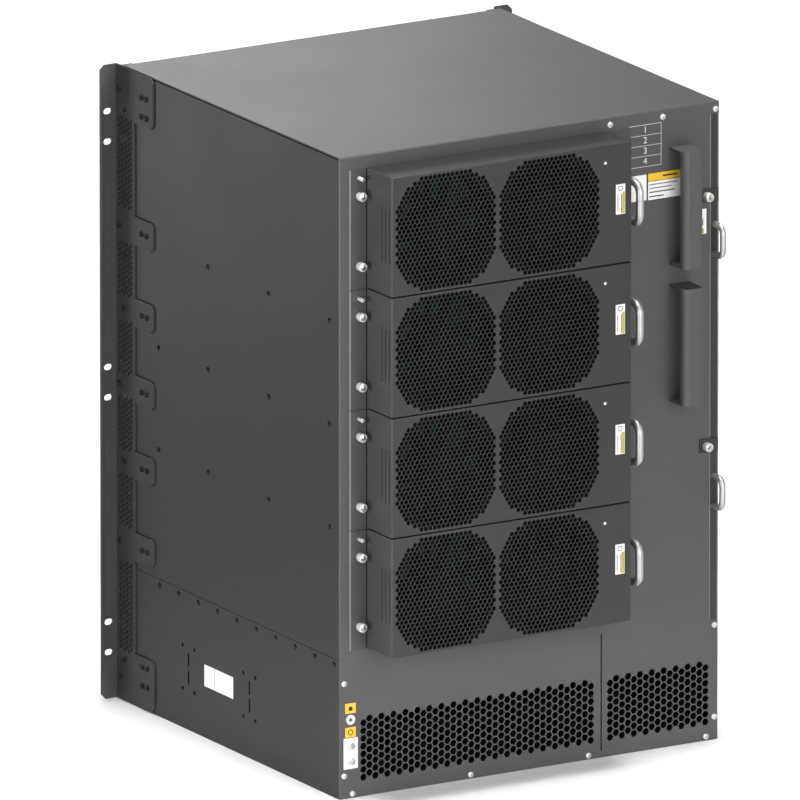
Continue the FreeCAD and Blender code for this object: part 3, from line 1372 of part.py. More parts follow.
ground_x = "(Places.half_width - Sizes.ground_inset - Sizes.ground_width)"
ground_blank = box(
    "GroundBlank", (ground_x, "Places.rear_face", "Sizes.ground_bottom"),
    ("Sizes.ground_width", "Sizes.ground_thickness", "Sizes.ground_height"))
ground_holes = []
for tag, sign in (("Lower", "-"), ("Upper", "+")):
    z = "Sizes.ground_bottom + Sizes.ground_height / 2 %s Sizes.ground_screw_rise / 2" % sign
    ground_holes.append(rod(
        "GroundHole" + tag, (ground_x + " + Sizes.ground_width / 2", "Places.rear_face", z),
        "Sizes.ground_shank_radius + Sizes.screw_clearance", "Sizes.ground_thickness"))
node(cut("GroundPlate", ground_blank, group("GroundHoles", ground_holes)), "ground_plate")

socket_x = "Places.half_width - Sizes.socket_inset"
socket_end = "Places.rear_face + Sizes.socket_ring - Sizes.socket_length"
socket_ring = rod(
    "SocketRing", (socket_x, "Places.rear_face", "Sizes.socket_height"),
    "Sizes.socket_radius", "Sizes.socket_ring")
socket_body = rod(
    "SocketBody", (socket_x, socket_end, "Sizes.socket_height"), "Sizes.socket_body_radius",
    "Sizes.socket_length - Sizes.socket_ring")
socket_bore = rod(
    "SocketBore", (socket_x, socket_end + " + Sizes.socket_ring", "Sizes.socket_height"), "Sizes.socket_bore",
    "Sizes.socket_length - Sizes.socket_ring")
node(cut("EsdSocket", fuse("SocketSolid", [socket_ring, socket_body]), socket_bore), "esd_socket")

# ---------------------------------------------------------------------------
# Checks and export
# ---------------------------------------------------------------------------

doc.recompute()
for item in doc.Objects:
    if "Invalid" in item.State or "Error" in item.State:
        raise RuntimeError("%s failed to build" % item.Name)
for item in nodes:
    if item.Shape.isNull() or not item.Shape.isValid():
        raise RuntimeError("%s has no valid shape" % item.Label)

os.makedirs("parts", exist_ok=True)
for item in nodes:
    item.Shape.exportStep("parts/%s.step" % item.Label)
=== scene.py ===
import math

import bmesh
import bpy
from mathutils import Matrix, Vector


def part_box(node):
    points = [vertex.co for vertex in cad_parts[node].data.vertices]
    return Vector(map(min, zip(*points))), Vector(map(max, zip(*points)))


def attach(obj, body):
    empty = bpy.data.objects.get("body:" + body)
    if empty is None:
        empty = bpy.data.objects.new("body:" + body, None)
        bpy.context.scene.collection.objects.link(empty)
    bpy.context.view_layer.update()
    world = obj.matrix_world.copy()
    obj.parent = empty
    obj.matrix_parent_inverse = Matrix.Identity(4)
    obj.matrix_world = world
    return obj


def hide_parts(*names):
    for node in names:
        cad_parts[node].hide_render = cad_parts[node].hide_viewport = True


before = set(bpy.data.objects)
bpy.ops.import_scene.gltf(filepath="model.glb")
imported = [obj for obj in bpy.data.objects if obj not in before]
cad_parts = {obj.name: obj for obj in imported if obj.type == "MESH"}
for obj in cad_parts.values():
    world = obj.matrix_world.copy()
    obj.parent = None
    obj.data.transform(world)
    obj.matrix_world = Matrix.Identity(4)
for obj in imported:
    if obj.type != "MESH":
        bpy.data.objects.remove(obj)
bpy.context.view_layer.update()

# Base pan, side panels and middle shelf: folded 1.5 mm steel sheet, powder-coated a warm grey
# with a fine orange-peel surface, riveted and screwed together into the box. Their grey is
# set far darker than the rear panel's, as painted shade on the sides.


class Signal:
    """An output of a node; sums and products of it add Math nodes."""

    def __init__(self, finish, socket):
        self.finish = finish
        self.socket = socket

    def __add__(self, other):
        return self.finish.node("Math", {"operation": "ADD"}, {0: self, 1: other})

    def __mul__(self, other):
        return self.finish.node("Math", {"operation": "MULTIPLY"}, {0: self, 1: other})

    __radd__ = __add__
    __rmul__ = __mul__


class Finish:
    """A surface finish, built node by node and closed by one Principled shader."""

    def __init__(self, name):
        self.material = bpy.data.materials.new(name)
        self.material.use_nodes = True
        self.tree = self.material.node_tree
        self.tree.nodes.clear()

    def node(self, kind, settings=None, values=None, output=0):
        """Adds a node: first its settings, then its sockets' values or links; gives an output."""
        made = self.tree.nodes.new("ShaderNode" + kind)
        for setting, choice in (settings or {}).items():
            setattr(made, setting, choice)
        for socket, value in (values or {}).items():
            if isinstance(value, Signal):
                self.tree.links.new(value.socket, made.inputs[socket])
            else:
                made.inputs[socket].default_value = value
        return Signal(self, made.outputs[output]) if made.outputs else None

    def place(self):
        """Where the surface is, in metres from the chassis' own origin."""
        return self.node("TexCoord", output="Object")

    def noise(self, place, scale, detail):
        return self.node("TexNoise", {}, {"Vector": place, "Scale": scale, "Detail": detail})

    def blend(self, factor, first, second):
        """A colour between two, by way of the Mix node's colour sockets 6 and 7."""
        return self.node("Mix", {"data_type": "RGBA"}, {0: factor, 6: first, 7: second}, output=2)

    def bump(self, height, strength, distance):
        return self.node("Bump", {}, {"Height": height, "Strength": strength, "Distance": distance})

    def close(self, values):
        """The Principled shader on these values, as the material's surface."""
        surface = self.node("BsdfPrincipled", {}, values)
        self.node("OutputMaterial", {}, {"Surface": surface})
        return self.material


def shade(tone, share=1.0):
    """A colour from three linear parts, lightened or darkened by a share."""
    return (tone[0] * share, tone[1] * share, tone[2] * share, 1.0)


def powder_coat(name, tone, gloss, sheen=0.5):
    """Powder coat: clouded tone, a fine orange peel and a sheen that wanders a little."""
    coat = Finish(name)
    place = coat.place()
    peel = coat.noise(place, 1400.0, 3.0)
    cloud = coat.noise(place, 9.0, 4.0)
    speck = coat.noise(place, 420.0, 2.0)
    tint = coat.blend(cloud * 0.7 + speck * 0.3, shade(tone, 0.90), shade(tone, 1.10))
    return coat.close({
        "Base Color": tint,
        "Roughness": gloss - 0.06 + cloud * 0.08 + peel * 0.05,
        "Normal": coat.bump(peel, 0.22, 0.0002),
        "Specular IOR Level": sheen,
    })


def dress(material, *names):
    """Gives CAD nodes their finish."""
    for name in names:
        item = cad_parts[name]
        if not item.material_slots:
            item.data.materials.append(material)
        for held in item.material_slots:
            held.material = material


# The sides' grey is darkened far below the rear panel's: painted shade.
side_shaded_grey = powder_coat("side_shaded_grey", (0.014, 0.0133, 0.0131), 0.46, 0.30)
dress(side_shaded_grey, "base_pan", "side_panel_right", "side_panel_left", "middle_shelf")

# Top cover: one flat sheet of the same steel, laid on the side panels' lips. Its four cut
# edges are slightly rounded, so they catch a thin line of light. A near-black strip under
# them along each side is a painted shadow in the joint.

COVER_ROUNDING = 0.0005
SEAM_INNER, SEAM_OUTER = 0.22085, 0.2211
SEAM_LOW, SEAM_HIGH = 0.6613, 0.6624
SHARP_BEND = 0.56        # an edge that bends more than this, in radians, is shaded sharp
FLAT_BEND = 0.1          # beside a flat wall this much is enough, where the edge is long
LONG_EDGE = 0.008


def round_edges(bm, edges, radius, steps):
    """Rounds edges to a radius in a few steps."""
    bmesh.ops.bevel(
        bm, geom=edges, offset=radius, offset_type="OFFSET", segments=steps, profile=0.5,
        affect="EDGES", material=-1)


def edges_of(verts):
    """Every edge that meets one of these corners, once each and always in the same order."""
    return list(dict.fromkeys(edge for vert in verts for edge in vert.link_edges))


def slab(bm, low, high, rounding=0.0, steps=2):
    """A plate between two corners, with rounded edges if asked for."""
    low, high = Vector(low), Vector(high)
    matrix = Matrix.Translation((low + high) / 2) @ Matrix.Diagonal((*(high - low), 1.0))
    made = bmesh.ops.create_cube(bm, size=1.0, matrix=matrix)["verts"]
    if rounding:
        round_edges(bm, edges_of(made), rounding, steps)


def settle(bm, name, body, slot, material, *stands_for):
    """Makes a mesh into a piece that rides on a body, and hides the CAD nodes it stands for.

    Rounded edges are shaded smooth, and the long borders of flat walls stay crisp.
    """
    bmesh.ops.recalc_face_normals(bm, faces=bm.faces)
    for face in bm.faces:
        face.smooth = True
    for edge in bm.edges:
        bend = edge.calc_face_angle(0.0)
        flat = any(max(map(abs, face.normal)) > 0.9999 for face in edge.link_faces)
        crisp = flat and bend > FLAT_BEND and edge.calc_length() > LONG_EDGE
        edge.smooth = bend < SHARP_BEND and not crisp
    mesh = bpy.data.meshes.new(name)
    bm.to_mesh(mesh)
    bm.free()
    mesh.materials.append(material)
    piece = bpy.data.objects.new(name, mesh)
    bpy.context.collection.objects.link(piece)
    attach(piece, body)
    if stands_for:
        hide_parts(*stands_for)
    return piece


cover_low, cover_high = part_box("top_cover")
# The top's grey is its own copy of the same paint, toned to the light on the top: painted light.
cover_lit_grey = powder_coat("cover_lit_grey", (0.046, 0.0455, 0.0455), 0.42)
cover = bmesh.new()
slab(cover, cover_low, cover_high, COVER_ROUNDING)
settle(cover, "cover_sheet", "chassis", "painted_steel", cover_lit_grey, "top_cover")
# Painted shadow: near-black strips in the joint under the cover's side edges.
joint_shadow = bmesh.new()
for side in (-1, 1):
    slab(
        joint_shadow, (side * SEAM_INNER, cover_low.y, SEAM_LOW),
        (side * SEAM_OUTER, cover_high.y, SEAM_HIGH))
seam_shadow = powder_coat("seam_shadow", (0.006, 0.006, 0.006), 0.8, 0.1)
settle(joint_shadow, "cover_seam_shadow", "chassis", "painted_steel", seam_shadow)

# Rear panel: one upright sheet, punched with two fields of hexagonal vents, the opening of
# the fan bay, the notch for the air filter and a narrow slit. Powder-coated mid grey, with a
# painted highlight in light strips along the notch's two edges. Its left and right are as seen from
# the rear.

PANEL_SHEET = 0.0015
PANEL_ROUNDING = 0.0012
NOTCH_X = -0.2107
NOTCH_LOW, NOTCH_HIGH = 0.1256, 0.6514
NOTCH_HIGHLIGHTS = (           # x from and to, rearmost y and rounding of each bright edge
    (-0.2210, -0.2193, 0.2204, 0.0005), (-0.2110, -0.2102, 0.2208, 0.0003))
HIGHLIGHT_START = 0.2188
FAN_OPENING = (-0.0878, 0.1863, 0.1551, 0.6483)      # right, left, low and high edge
SLIT = (-0.08475, -0.08325, 0.0075, 0.129)
VENT_FIELDS = ((-0.0778, 0.1990), (-0.2106, -0.0902))
VENT_LOW, VENT_HIGH = 0.0150, 0.0850
VENT_MARGIN, VENT_SHEET_LOW, VENT_SHEET_HIGH = 0.002, 0.0125, 0.0875
VENT_PITCH, VENT_WEB = 0.00806, 0.0011
HEXAGON_TURN = math.radians(30)      # hexagons in upright columns stand on a flat side
TOUCH = 1e-5             # corners closer than this lie in one plane


def rectangle(u_low, u_high, v_low, v_high):
    """The four corners of a rectangle, in order."""
    return (u_low, v_low), (u_high, v_low), (u_high, v_high), (u_low, v_high)


def standing(x, y, z):
    """A plane across the chassis through a point: u runs along X and v along Z."""
    return Matrix.Translation((x, y, z)) @ Matrix.Rotation(math.radians(90), 4, "X")


def outline(bm, plane, corners):
    """A closed line through points of a plane."""
    verts = [bm.verts.new(plane @ Vector((u, v, 0.0))) for u, v in corners]
    return [bm.edges.new(pair) for pair in zip(verts, verts[1:] + verts[:1])]


def fill(bm, edges):
    """Sheet metal between these edges."""
    bmesh.ops.triangle_fill(bm, use_beauty=True, use_dissolve=False, edges=edges)


def add_part(bm, part):
    """Adds a mesh to another and frees it."""
    shape = bpy.data.meshes.new("part")
    part.to_mesh(shape)
    part.free()
    bm.from_mesh(shape)
    bpy.data.meshes.remove(shape)


def punched_field(bm, plane, border, centres, pitch, web, turn):
    """Hexagonal holes in a plane, and plain sheet from them out to a border; gives its sides."""
    side = pitch / math.sqrt(3)
    field = bmesh.new()
    for u, v in centres:
        spot = Matrix.Translation((u, v, 0.0)) @ Matrix.Rotation(turn, 4, "Z")
        bmesh.ops.create_circle(field, cap_ends=True, segments=6, radius=side, matrix=spot)
    bmesh.ops.remove_doubles(field, verts=field.verts, dist=side * 0.05)
    cells = list(field.faces)
    bmesh.ops.inset_individual(field, faces=cells, thickness=web / 2, use_even_offset=True)
    bmesh.ops.delete(field, geom=cells, context="FACES_ONLY")
    bmesh.ops.transform(field, matrix=plane, verts=field.verts)
    before = len(bm.edges)
    add_part(bm, field)
    bm.edges.ensure_lookup_table()
    outer = [e for e in bm.edges[before:] if e.is_boundary and e.calc_length() > side * 0.92]
    sides = outline(bm, plane, border)
    fill(bm, outer + sides)
    return sides


def hexagons(u_low, u_high, v_low, v_high, pitch):
    """Centres in upright columns, every second column half a pitch higher."""
    step = pitch * math.sqrt(3) / 2
    columns = int((u_high - u_low - pitch) / step + 0.2) + 1
    rows = int((v_high - v_low - 0.5 * pitch) / pitch + 0.2)
    u_first = (u_low + u_high) / 2 - (columns - 1) * step / 2
    v_first = (v_low + v_high) / 2 - (rows - 0.5) * pitch / 2
    return [
        (u_first + column * step, v_first + (row + 0.5 * (column % 2)) * pitch)
        for column in range(columns) for row in range(rows)]


def thicken(bm, inward, thickness):
    """Gives the flat or open sheet its thickness, grown along a direction."""
    bmesh.ops.recalc_face_normals(bm, faces=bm.faces)
    leaning = sum(face.normal.dot(inward) * face.calc_area() for face in bm.faces)
    if leaning > 0:
        bmesh.ops.reverse_faces(bm, faces=bm.faces)
    stray = [face for face in bm.faces if face.normal.dot(inward) > 0.5]
    bmesh.ops.reverse_faces(bm, faces=stray)
    bmesh.ops.solidify(bm, geom=bm.faces[:], thickness=thickness)


rear_grey = powder_coat("rear_grey", (0.060, 0.0585, 0.059), 0.50)
panel_low, panel_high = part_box("rear_panel")
upright = standing(0.0, panel_high.y, 0.0)
panel = bmesh.new()
half = panel_high.x
lines = outline(panel, upright, (
    (-half, 0.0), (half, 0.0), (half, panel_high.z), (-half, panel_high.z), (-half, NOTCH_HIGH),
    (NOTCH_X, NOTCH_HIGH), (NOTCH_X, NOTCH_LOW), (-half, NOTCH_LOW)))
lines += outline(panel, upright, rectangle(*FAN_OPENING))
lines += outline(panel, upright, rectangle(*SLIT))
for right, left in VENT_FIELDS:
    border = rectangle(
        right - VENT_MARGIN, left + VENT_MARGIN, VENT_SHEET_LOW, VENT_SHEET_HIGH)
    centres = hexagons(right, left, VENT_LOW, VENT_HIGH, VENT_PITCH)
    lines += punched_field(
        panel, upright, border, centres, VENT_PITCH, VENT_WEB, HEXAGON_TURN)
fill(panel, lines)
thicken(panel, Vector((0, -1, 0)), PANEL_SHEET)
rims = []
for edge in panel.edges:
    ends = [vert.co for vert in edge.verts]
    outside = all(end.y > panel_high.y - TOUCH for end in ends)
    at_side = all(abs(abs(end.x) - half) < TOUCH for end in ends)
    at_top = all(end.z > panel_high.z - TOUCH for end in ends)
    if outside and (at_side or at_top):
        rims.append(edge)
round_edges(panel, rims, PANEL_ROUNDING, 3)
settle(panel, "rear_sheet", "chassis", "painted_steel", rear_grey, "rear_panel")
# Painted highlight: light strips on the notch's edges, where they catch the light.
notch_highlights = bmesh.new()
for start, end, rearmost, rounding in NOTCH_HIGHLIGHTS:
    slab(notch_highlights, (start, HIGHLIGHT_START, NOTCH_LOW), (end, rearmost, NOTCH_HIGH), rounding)
edge_highlight = powder_coat("edge_highlight", (0.20, 0.198, 0.196), 0.40)
settle(notch_highlights, "notch_highlights", "chassis", "painted_steel", edge_highlight)

# Rack ears: 2 mm steel angles, powder-coated grey, set nearly black here as painted shade.
# The strip along the side is perforated between its tabs, with a painted shadow behind the
# holes, and the flange has six rounded slots for the rack's bolts. The flange's rearward
# faces take a lighter grey as painted light.

EAR_SHEET = 0.002
EAR_LOW, EAR_HIGH = 0.001, 0.663
MID_HEIGHT = 0.332
STRIP_X = 0.223
STRIP_WIDTH = 0.037
TAB_SHOULDER, TAB_END = 0.070, 0.075
CORNER_CUT = 0.005
EAR_TABS = (             # low and high edge of each tab
    (EAR_LOW, 0.055), (0.152, 0.182), (0.237, 0.267), (0.317, 0.347), (0.397, 0.427),
    (0.482, 0.512), (0.609, EAR_HIGH))
EAR_FIELDS = (           # middle and half height of each perforated field
    (0.1005, 0.048), (0.211, 0.029), (0.292, 0.029), (0.372, 0.029), (0.453, 0.029),
    (0.5635, 0.048))
EAR_PITCH, EAR_WEB = 0.0055, 0.0010
FIELD_START, FIELD_END, FIELD_MARGIN = 0.003, 0.0355, 0.001
HOLES_START, HOLES_END = 0.0045, 0.034
HOLE_SHADOW_INNER, HOLE_SHADOW_OUTER = 0.2211, 0.2213
FOLD_X = 0.2225
BOLT_X = 0.23255
BOLT_RISES = (0.015875, 0.250825, 0.282575)
BOLT_RADIUS, BOLT_STRETCH = 0.0034, 0.00125
# The ears' grey is darkened to nearly black: painted shade.
ear_shaded_grey = powder_coat("ear_shaded_grey", (0.022, 0.0213, 0.0213), 0.50, 0.25)
ear_flange_lit_grey = powder_coat("ear_flange_lit_grey", (0.045, 0.0438, 0.0440), 0.50)


def lengthwise(x):
    """A plane along the chassis at an x: u runs along Y and v along Z."""
    return Matrix(((0, 0, 1, x), (1, 0, 0, 0), (0, 1, 0, 0), (0, 0, 0, 1)))


def ring(bm, plane, u, v, radius, steps, stretch=0.0):
    """A round hole's edge, or a slot's where it is stretched along u."""
    turn = Matrix.Rotation(math.pi / steps, 4, "Z")
    made = bmesh.ops.create_circle(
        bm, cap_ends=False, segments=steps, radius=radius, matrix=turn)["verts"]
    for vert in made:
        vert.co.x += math.copysign(stretch, vert.co.x)
    bmesh.ops.transform(bm, matrix=plane @ Matrix.Translation((u, v, 0.0)), verts=made)
    return edges_of(made)


def two_tone(piece, material, axis):
    """Gives the faces that look along an axis a second, lighter copy of the paint: painted light.
    """
    piece.data.materials.append(material)
    for face in piece.data.polygons:
        if face.normal[axis] > 0.5:
            face.material_index = 1


for hand, side in (("right", 1.0), ("left", -1.0)):
    ear_low, ear_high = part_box("rack_ear_" + hand)
    front = ear_low.y
    edge = max(abs(ear_low.x), abs(ear_high.x))
    strip = bmesh.new()
    beside = lengthwise(side * STRIP_X)
    corners = [(front, EAR_LOW)]
    for low, high in EAR_TABS:
        if low > EAR_LOW:
            corners.append((front + STRIP_WIDTH, low))
        corners += [
            (front + TAB_SHOULDER, low), (front + TAB_END, low + CORNER_CUT),
            (front + TAB_END, high - CORNER_CUT), (front + TAB_SHOULDER, high)]
        if high < EAR_HIGH:
            corners.append((front + STRIP_WIDTH, high))
    corners.append((front, EAR_HIGH))
    lines = outline(strip, beside, corners)
    # Painted shadow: near-black sheets behind the perforated fields, for the dark behind the holes.
    hole_shadow = bmesh.new()
    start, end = front + FIELD_START, front + FIELD_END
    for middle, reach in EAR_FIELDS:
        slab(
            hole_shadow, (side * HOLE_SHADOW_INNER, start, middle - reach),
            (side * HOLE_SHADOW_OUTER, end, middle + reach))
        border = rectangle(
            start, end, middle - reach - FIELD_MARGIN, middle + reach + FIELD_MARGIN)
        centres = hexagons(
            front + HOLES_START, front + HOLES_END, middle - reach, middle + reach, EAR_PITCH)
        lines += punched_field(
            strip, beside, border, centres, EAR_PITCH, EAR_WEB, HEXAGON_TURN)
    fill(strip, lines)
    thicken(strip, Vector((-side, 0, 0)), EAR_SHEET)
    flange = bmesh.new()
    facing = standing(0.0, front, 0.0)
    corners = (
        (FOLD_X, EAR_LOW), (edge - CORNER_CUT, EAR_LOW), (edge, EAR_LOW + CORNER_CUT),
        (edge, EAR_HIGH - CORNER_CUT), (edge - CORNER_CUT, EAR_HIGH), (FOLD_X, EAR_HIGH))
    lines = outline(flange, facing, [(side * u, v) for u, v in corners])
    for rise in BOLT_RISES:
        for sign in (-1, 1):
            lines += ring(
                flange, facing, side * BOLT_X, MID_HEIGHT + sign * rise, BOLT_RADIUS, 16,
                BOLT_STRETCH)
    fill(flange, lines)
    thicken(flange, Vector((0, 1, 0)), EAR_SHEET)
    rims = [
        e for e in flange.edges if e.calc_face_angle(0) > 1
        and all(abs(abs(v.co.x) - edge) < CORNER_CUT + 0.0001 for v in e.verts)]
    round_edges(flange, rims, 0.0004, 2)
    add_part(strip, flange)
    ear = settle(
        strip, "ear_sheet_" + hand, "chassis", "painted_steel", ear_shaded_grey, "rack_ear_" + hand)
    # Painted light: the flange's rearward faces take the lighter grey.
    two_tone(ear, ear_flange_lit_grey, 1)
    settle(hole_shadow, "ear_hole_shadow_" + hand, "chassis", "painted_steel", seam_shadow)

# Card cage: two guide walls and the fan bay's walls in bare galvanised steel, with the
# zinc's crystals showing, and behind them the backplane, a thick glass-fibre board under
# green solder mask.


def galvanised(name, tone):
    """Hot-dip zinc: crystals of slightly different grey and sheen."""
    zinc = Finish(name)
    place = zinc.place()
    crystal = zinc.node("TexVoronoi", {}, {"Vector": place, "Scale": 130.0}, output="Color")
    level = zinc.node("SeparateColor", {}, {"Color": crystal})
    grain = zinc.noise(place, 900.0, 3.0)
    return zinc.close({
        "Base Color": zinc.blend(level, shade(tone, 0.82), shade(tone, 1.08)),
        "Metallic": 0.85,
        "Roughness": 0.30 + level * 0.14 + grain * 0.08,
        "Normal": zinc.bump(grain + level * 0.4, 0.12, 0.0002),
    })


zinc_sheet = galvanised("zinc_sheet", (0.55, 0.56, 0.57))
dress(zinc_sheet, "card_guide_right", "card_guide_left", "fan_guide_right", "fan_guide_left")
board = Finish("solder_mask")
place = board.place()
tracks = board.node("TexBrick", {"offset": 0.5, "squash": 1.0}, {
    "Vector": place, "Scale": 90.0, "Mortar Size": 0.02, "Color1": (0.012, 0.085, 0.030, 1.0),
    "Color2": (0.014, 0.100, 0.034, 1.0), "Mortar": (0.030, 0.150, 0.055, 1.0)})
weave = board.noise(place, 700.0, 2.0)
solder_mask = board.close({
    "Base Color": board.blend(weave * 0.3, tracks, (0.008, 0.055, 0.020, 1.0)),
    "Roughness": 0.28 + weave * 0.15,
    "Normal": board.bump(weave, 0.10, 0.0001),
    "Coat Weight": 0.3,
})
dress(solder_mask, "backplane")

# Line cards: a board behind a face of mid grey steel, with two latches. A stamped zinc plate
# on the face frames two rows of twelve port openings, with a row of small green lamps
# between them.

FACE_Y = -0.2165
PLATE_HEIGHT = 0.0022
PLATE_X, PLATE_REACH = 0.1510, 0.0180
PORT_FLOOR = 0.0003
PORT_PITCH, PORT_HALF, PORT_HEIGHT = 0.0250, 0.0100, 0.0105
PORT_RISES = (-0.0145, 0.0040)
LAMP_RADIUS = 0.0011
card_grey = powder_coat("card_grey", (0.085, 0.085, 0.088), 0.42)
plate_zinc = galvanised("plate_zinc", (0.50, 0.51, 0.52))
port_dark = powder_coat("port_dark", (0.006, 0.006, 0.007), 0.55, 0.2)
lens = Finish("lamp_green")
haze = lens.noise(lens.place(), 500.0, 2.0)
lamp_green = lens.close({
    "Base Color": lens.blend(haze, (0.02, 0.20, 0.05, 1.0), (0.03, 0.34, 0.08, 1.0)),
    "Roughness": 0.18 + haze * 0.12,
    "Coat Weight": 0.4,
})


def port_plate(name, body, slot, material, outer, openings, height=PLATE_HEIGHT):
    """A plate on a front face, dark in its openings; each is left, right, low and high edge."""
    facing = standing(0.0, FACE_Y - height, 0.0)
    plate = bmesh.new()
    lines = []
    for opening in (outer, *openings):
        lines += outline(plate, facing, rectangle(*opening))
    fill(plate, lines)
    thicken(plate, Vector((0, 1, 0)), height - PORT_FLOOR)
    settle(plate, name, body, slot, material)
    floor = bmesh.new()
    slab(floor, (outer[0], FACE_Y - PORT_FLOOR, outer[2]), (outer[1], FACE_Y, outer[3]))
    settle(floor, name + "_depth", body, "fan_plastic", port_dark)


def lens_row(name, body, spots):
    """Small domed lamps on a front face, each given by its x and z."""
    lenses = bmesh.new()
    for x, z in spots:
        bmesh.ops.create_uvsphere(
            lenses, u_segments=10, v_segments=6, radius=LAMP_RADIUS,
            matrix=Matrix.Translation((x, FACE_Y - PLATE_HEIGHT, z)))
    settle(lenses, name, body, "fan_plastic", lamp_green)


for number in range(1, 9):
    card = "line_card_%d" % number
    dress(card_grey, card)
    card_low, card_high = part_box(card)
    centre = (card_low.z + card_high.z) / 2
    columns = [(column - 5.5) * PORT_PITCH for column in range(12)]
    ports = [
        (x - PORT_HALF, x + PORT_HALF, centre + rise, centre + rise + PORT_HEIGHT)
        for x in columns for rise in PORT_RISES]
    outer = (-PLATE_X, PLATE_X, centre - PLATE_REACH, centre + PLATE_REACH)
    port_plate(
        "card_%d_ports" % number, card + "_body", "plated_steel", plate_zinc, outer, ports)
    lens_row("card_%d_lamps" % number, card + "_body", [(x, centre) for x in columns])

# Control cards: the same board and face. The plate on it is punched with six square
# sockets, two narrow ones, and a field of upright slots that lets the air in.

SOCKETS = (              # width, height and the places across of each kind of opening
    (0.0150, 0.0130, (-0.138, -0.120, -0.102, -0.084, -0.066, -0.048)),
    (0.0130, 0.0056, (-0.028, -0.010)),
    (0.0026, 0.0280, [0.042 + 0.006 * count for count in range(18)]))
CONTROL_LAMPS = [0.008 + 0.0050 * count for count in range(6)]
for number in (1, 2):
    card = "control_card_%d" % number
    dress(card_grey, card)
    card_low, card_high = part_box(card)
    centre = (card_low.z + card_high.z) / 2
    ports = [
        (x - width / 2, x + width / 2, centre - height / 2, centre + height / 2)
        for width, height, spots in SOCKETS for x in spots]
    outer = (-PLATE_X, PLATE_X, centre - PLATE_REACH, centre + PLATE_REACH)
    port_plate(
        "control_%d_ports" % number, card + "_body", "plated_steel", plate_zinc, outer, ports)
    lens_row(
        "control_%d_lamps" % number, card + "_body", [(x, centre) for x in CONTROL_LAMPS])

# Power modules: steel cases whose matt near-black is painted shade, for the dark inside seen
# through the rear vents, each with a pull handle on its face, an air intake of upright slots
# above it, and below it the inlet, its three pins, a rocker switch and two lamps.

MODULE_REACH = 0.0640
INTAKE_LOW, INTAKE_HIGH, INTAKE_HEIGHT = 0.0800, 0.1290, 0.0014
SLOT_PITCH, SLOT_HALF, SLOT_LOW, SLOT_HIGH = 0.007, 0.0015, 0.0850, 0.1240
INLET_LOW, INLET_HIGH, INLET_HEIGHT = 0.0090, 0.0560, 0.0030
INLET = (-0.0450, -0.0170, 0.0210, 0.0430)           # edges left and right of the middle,
ROCKER = (0.0010, 0.0160, 0.0200, 0.0440)            # then low and high
BUTTON = (0.0018, 0.0152, 0.0208, 0.0432)
BUTTON_HEIGHT, BUTTON_ROUNDING = 0.0040, 0.0012
PIN_PLACES = (-0.0390, -0.0310, -0.0230)
PIN_HALF, PIN_HEIGHT, PIN_LOW, PIN_HIGH, PIN_ROUNDING = 0.0010, 0.0024, 0.0290, 0.0350, 0.0003
MODULE_LAMPS = ((0.030, 0.0275), (0.030, 0.0375))
# Painted shade: the cases' near-black stands for the dark inside behind the rear vents.
module_shaded_black = powder_coat("module_shaded_black", (0.0045, 0.0045, 0.0047), 0.60, 0.15)
for number in (1, 2, 3):
    module = "power_module_%d" % number
    dress(module_shaded_black, module)
    module_low, module_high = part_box(module)
    centre = (module_low.x + module_high.x) / 2
    body = module + "_body"
    left, right = centre - MODULE_REACH, centre + MODULE_REACH
    places = [centre + SLOT_PITCH * count for count in range(-8, 9)]
    slots = [(x - SLOT_HALF, x + SLOT_HALF, SLOT_LOW, SLOT_HIGH) for x in places]
    port_plate(
        "module_%d_intake" % number, body, "module_case", card_grey,
        (left, right, INTAKE_LOW, INTAKE_HIGH), slots, INTAKE_HEIGHT)
    openings = [
        (centre + start, centre + end, low, high) for start, end, low, high in (INLET, ROCKER)]
    port_plate(
        "module_%d_inlet" % number, body, "module_case", card_grey,
        (left, right, INLET_LOW, INLET_HIGH), openings, INLET_HEIGHT)
    pins = bmesh.new()
    for x in PIN_PLACES:
        slab(
            pins, (centre + x - PIN_HALF, FACE_Y - PIN_HEIGHT, PIN_LOW),
            (centre + x + PIN_HALF, FACE_Y - PORT_FLOOR, PIN_HIGH), PIN_ROUNDING)
    settle(pins, "module_%d_pins" % number, body, "bright_metal", plate_zinc)
    switch = bmesh.new()
    start, end, low, high = BUTTON
    slab(
        switch, (centre + start, FACE_Y - BUTTON_HEIGHT, low),
        (centre + end, FACE_Y - PORT_FLOOR, high), BUTTON_ROUNDING, 3)
    settle(switch, "module_%d_rocker" % number, body, "fan_plastic", port_dark)
    lens_row("module_%d_lamps" % number, body, [(centre + x, z) for x, z in MODULE_LAMPS])

# Fan trays: hoods of folded 1.2 mm steel that stand proud of the rear panel, with two round
# grilles of fine hexagonal holes, cut off straight at the sides, and three grooves in the wall
# at +X. A thin flange on each side takes the thumbscrews. The wall at +X and the flanges
# take a lighter grey as painted light; a near-black strip in the gap between the hood and
# the +X flange is a painted shadow, and a light strip on that flange's outer edge a painted
# highlight.

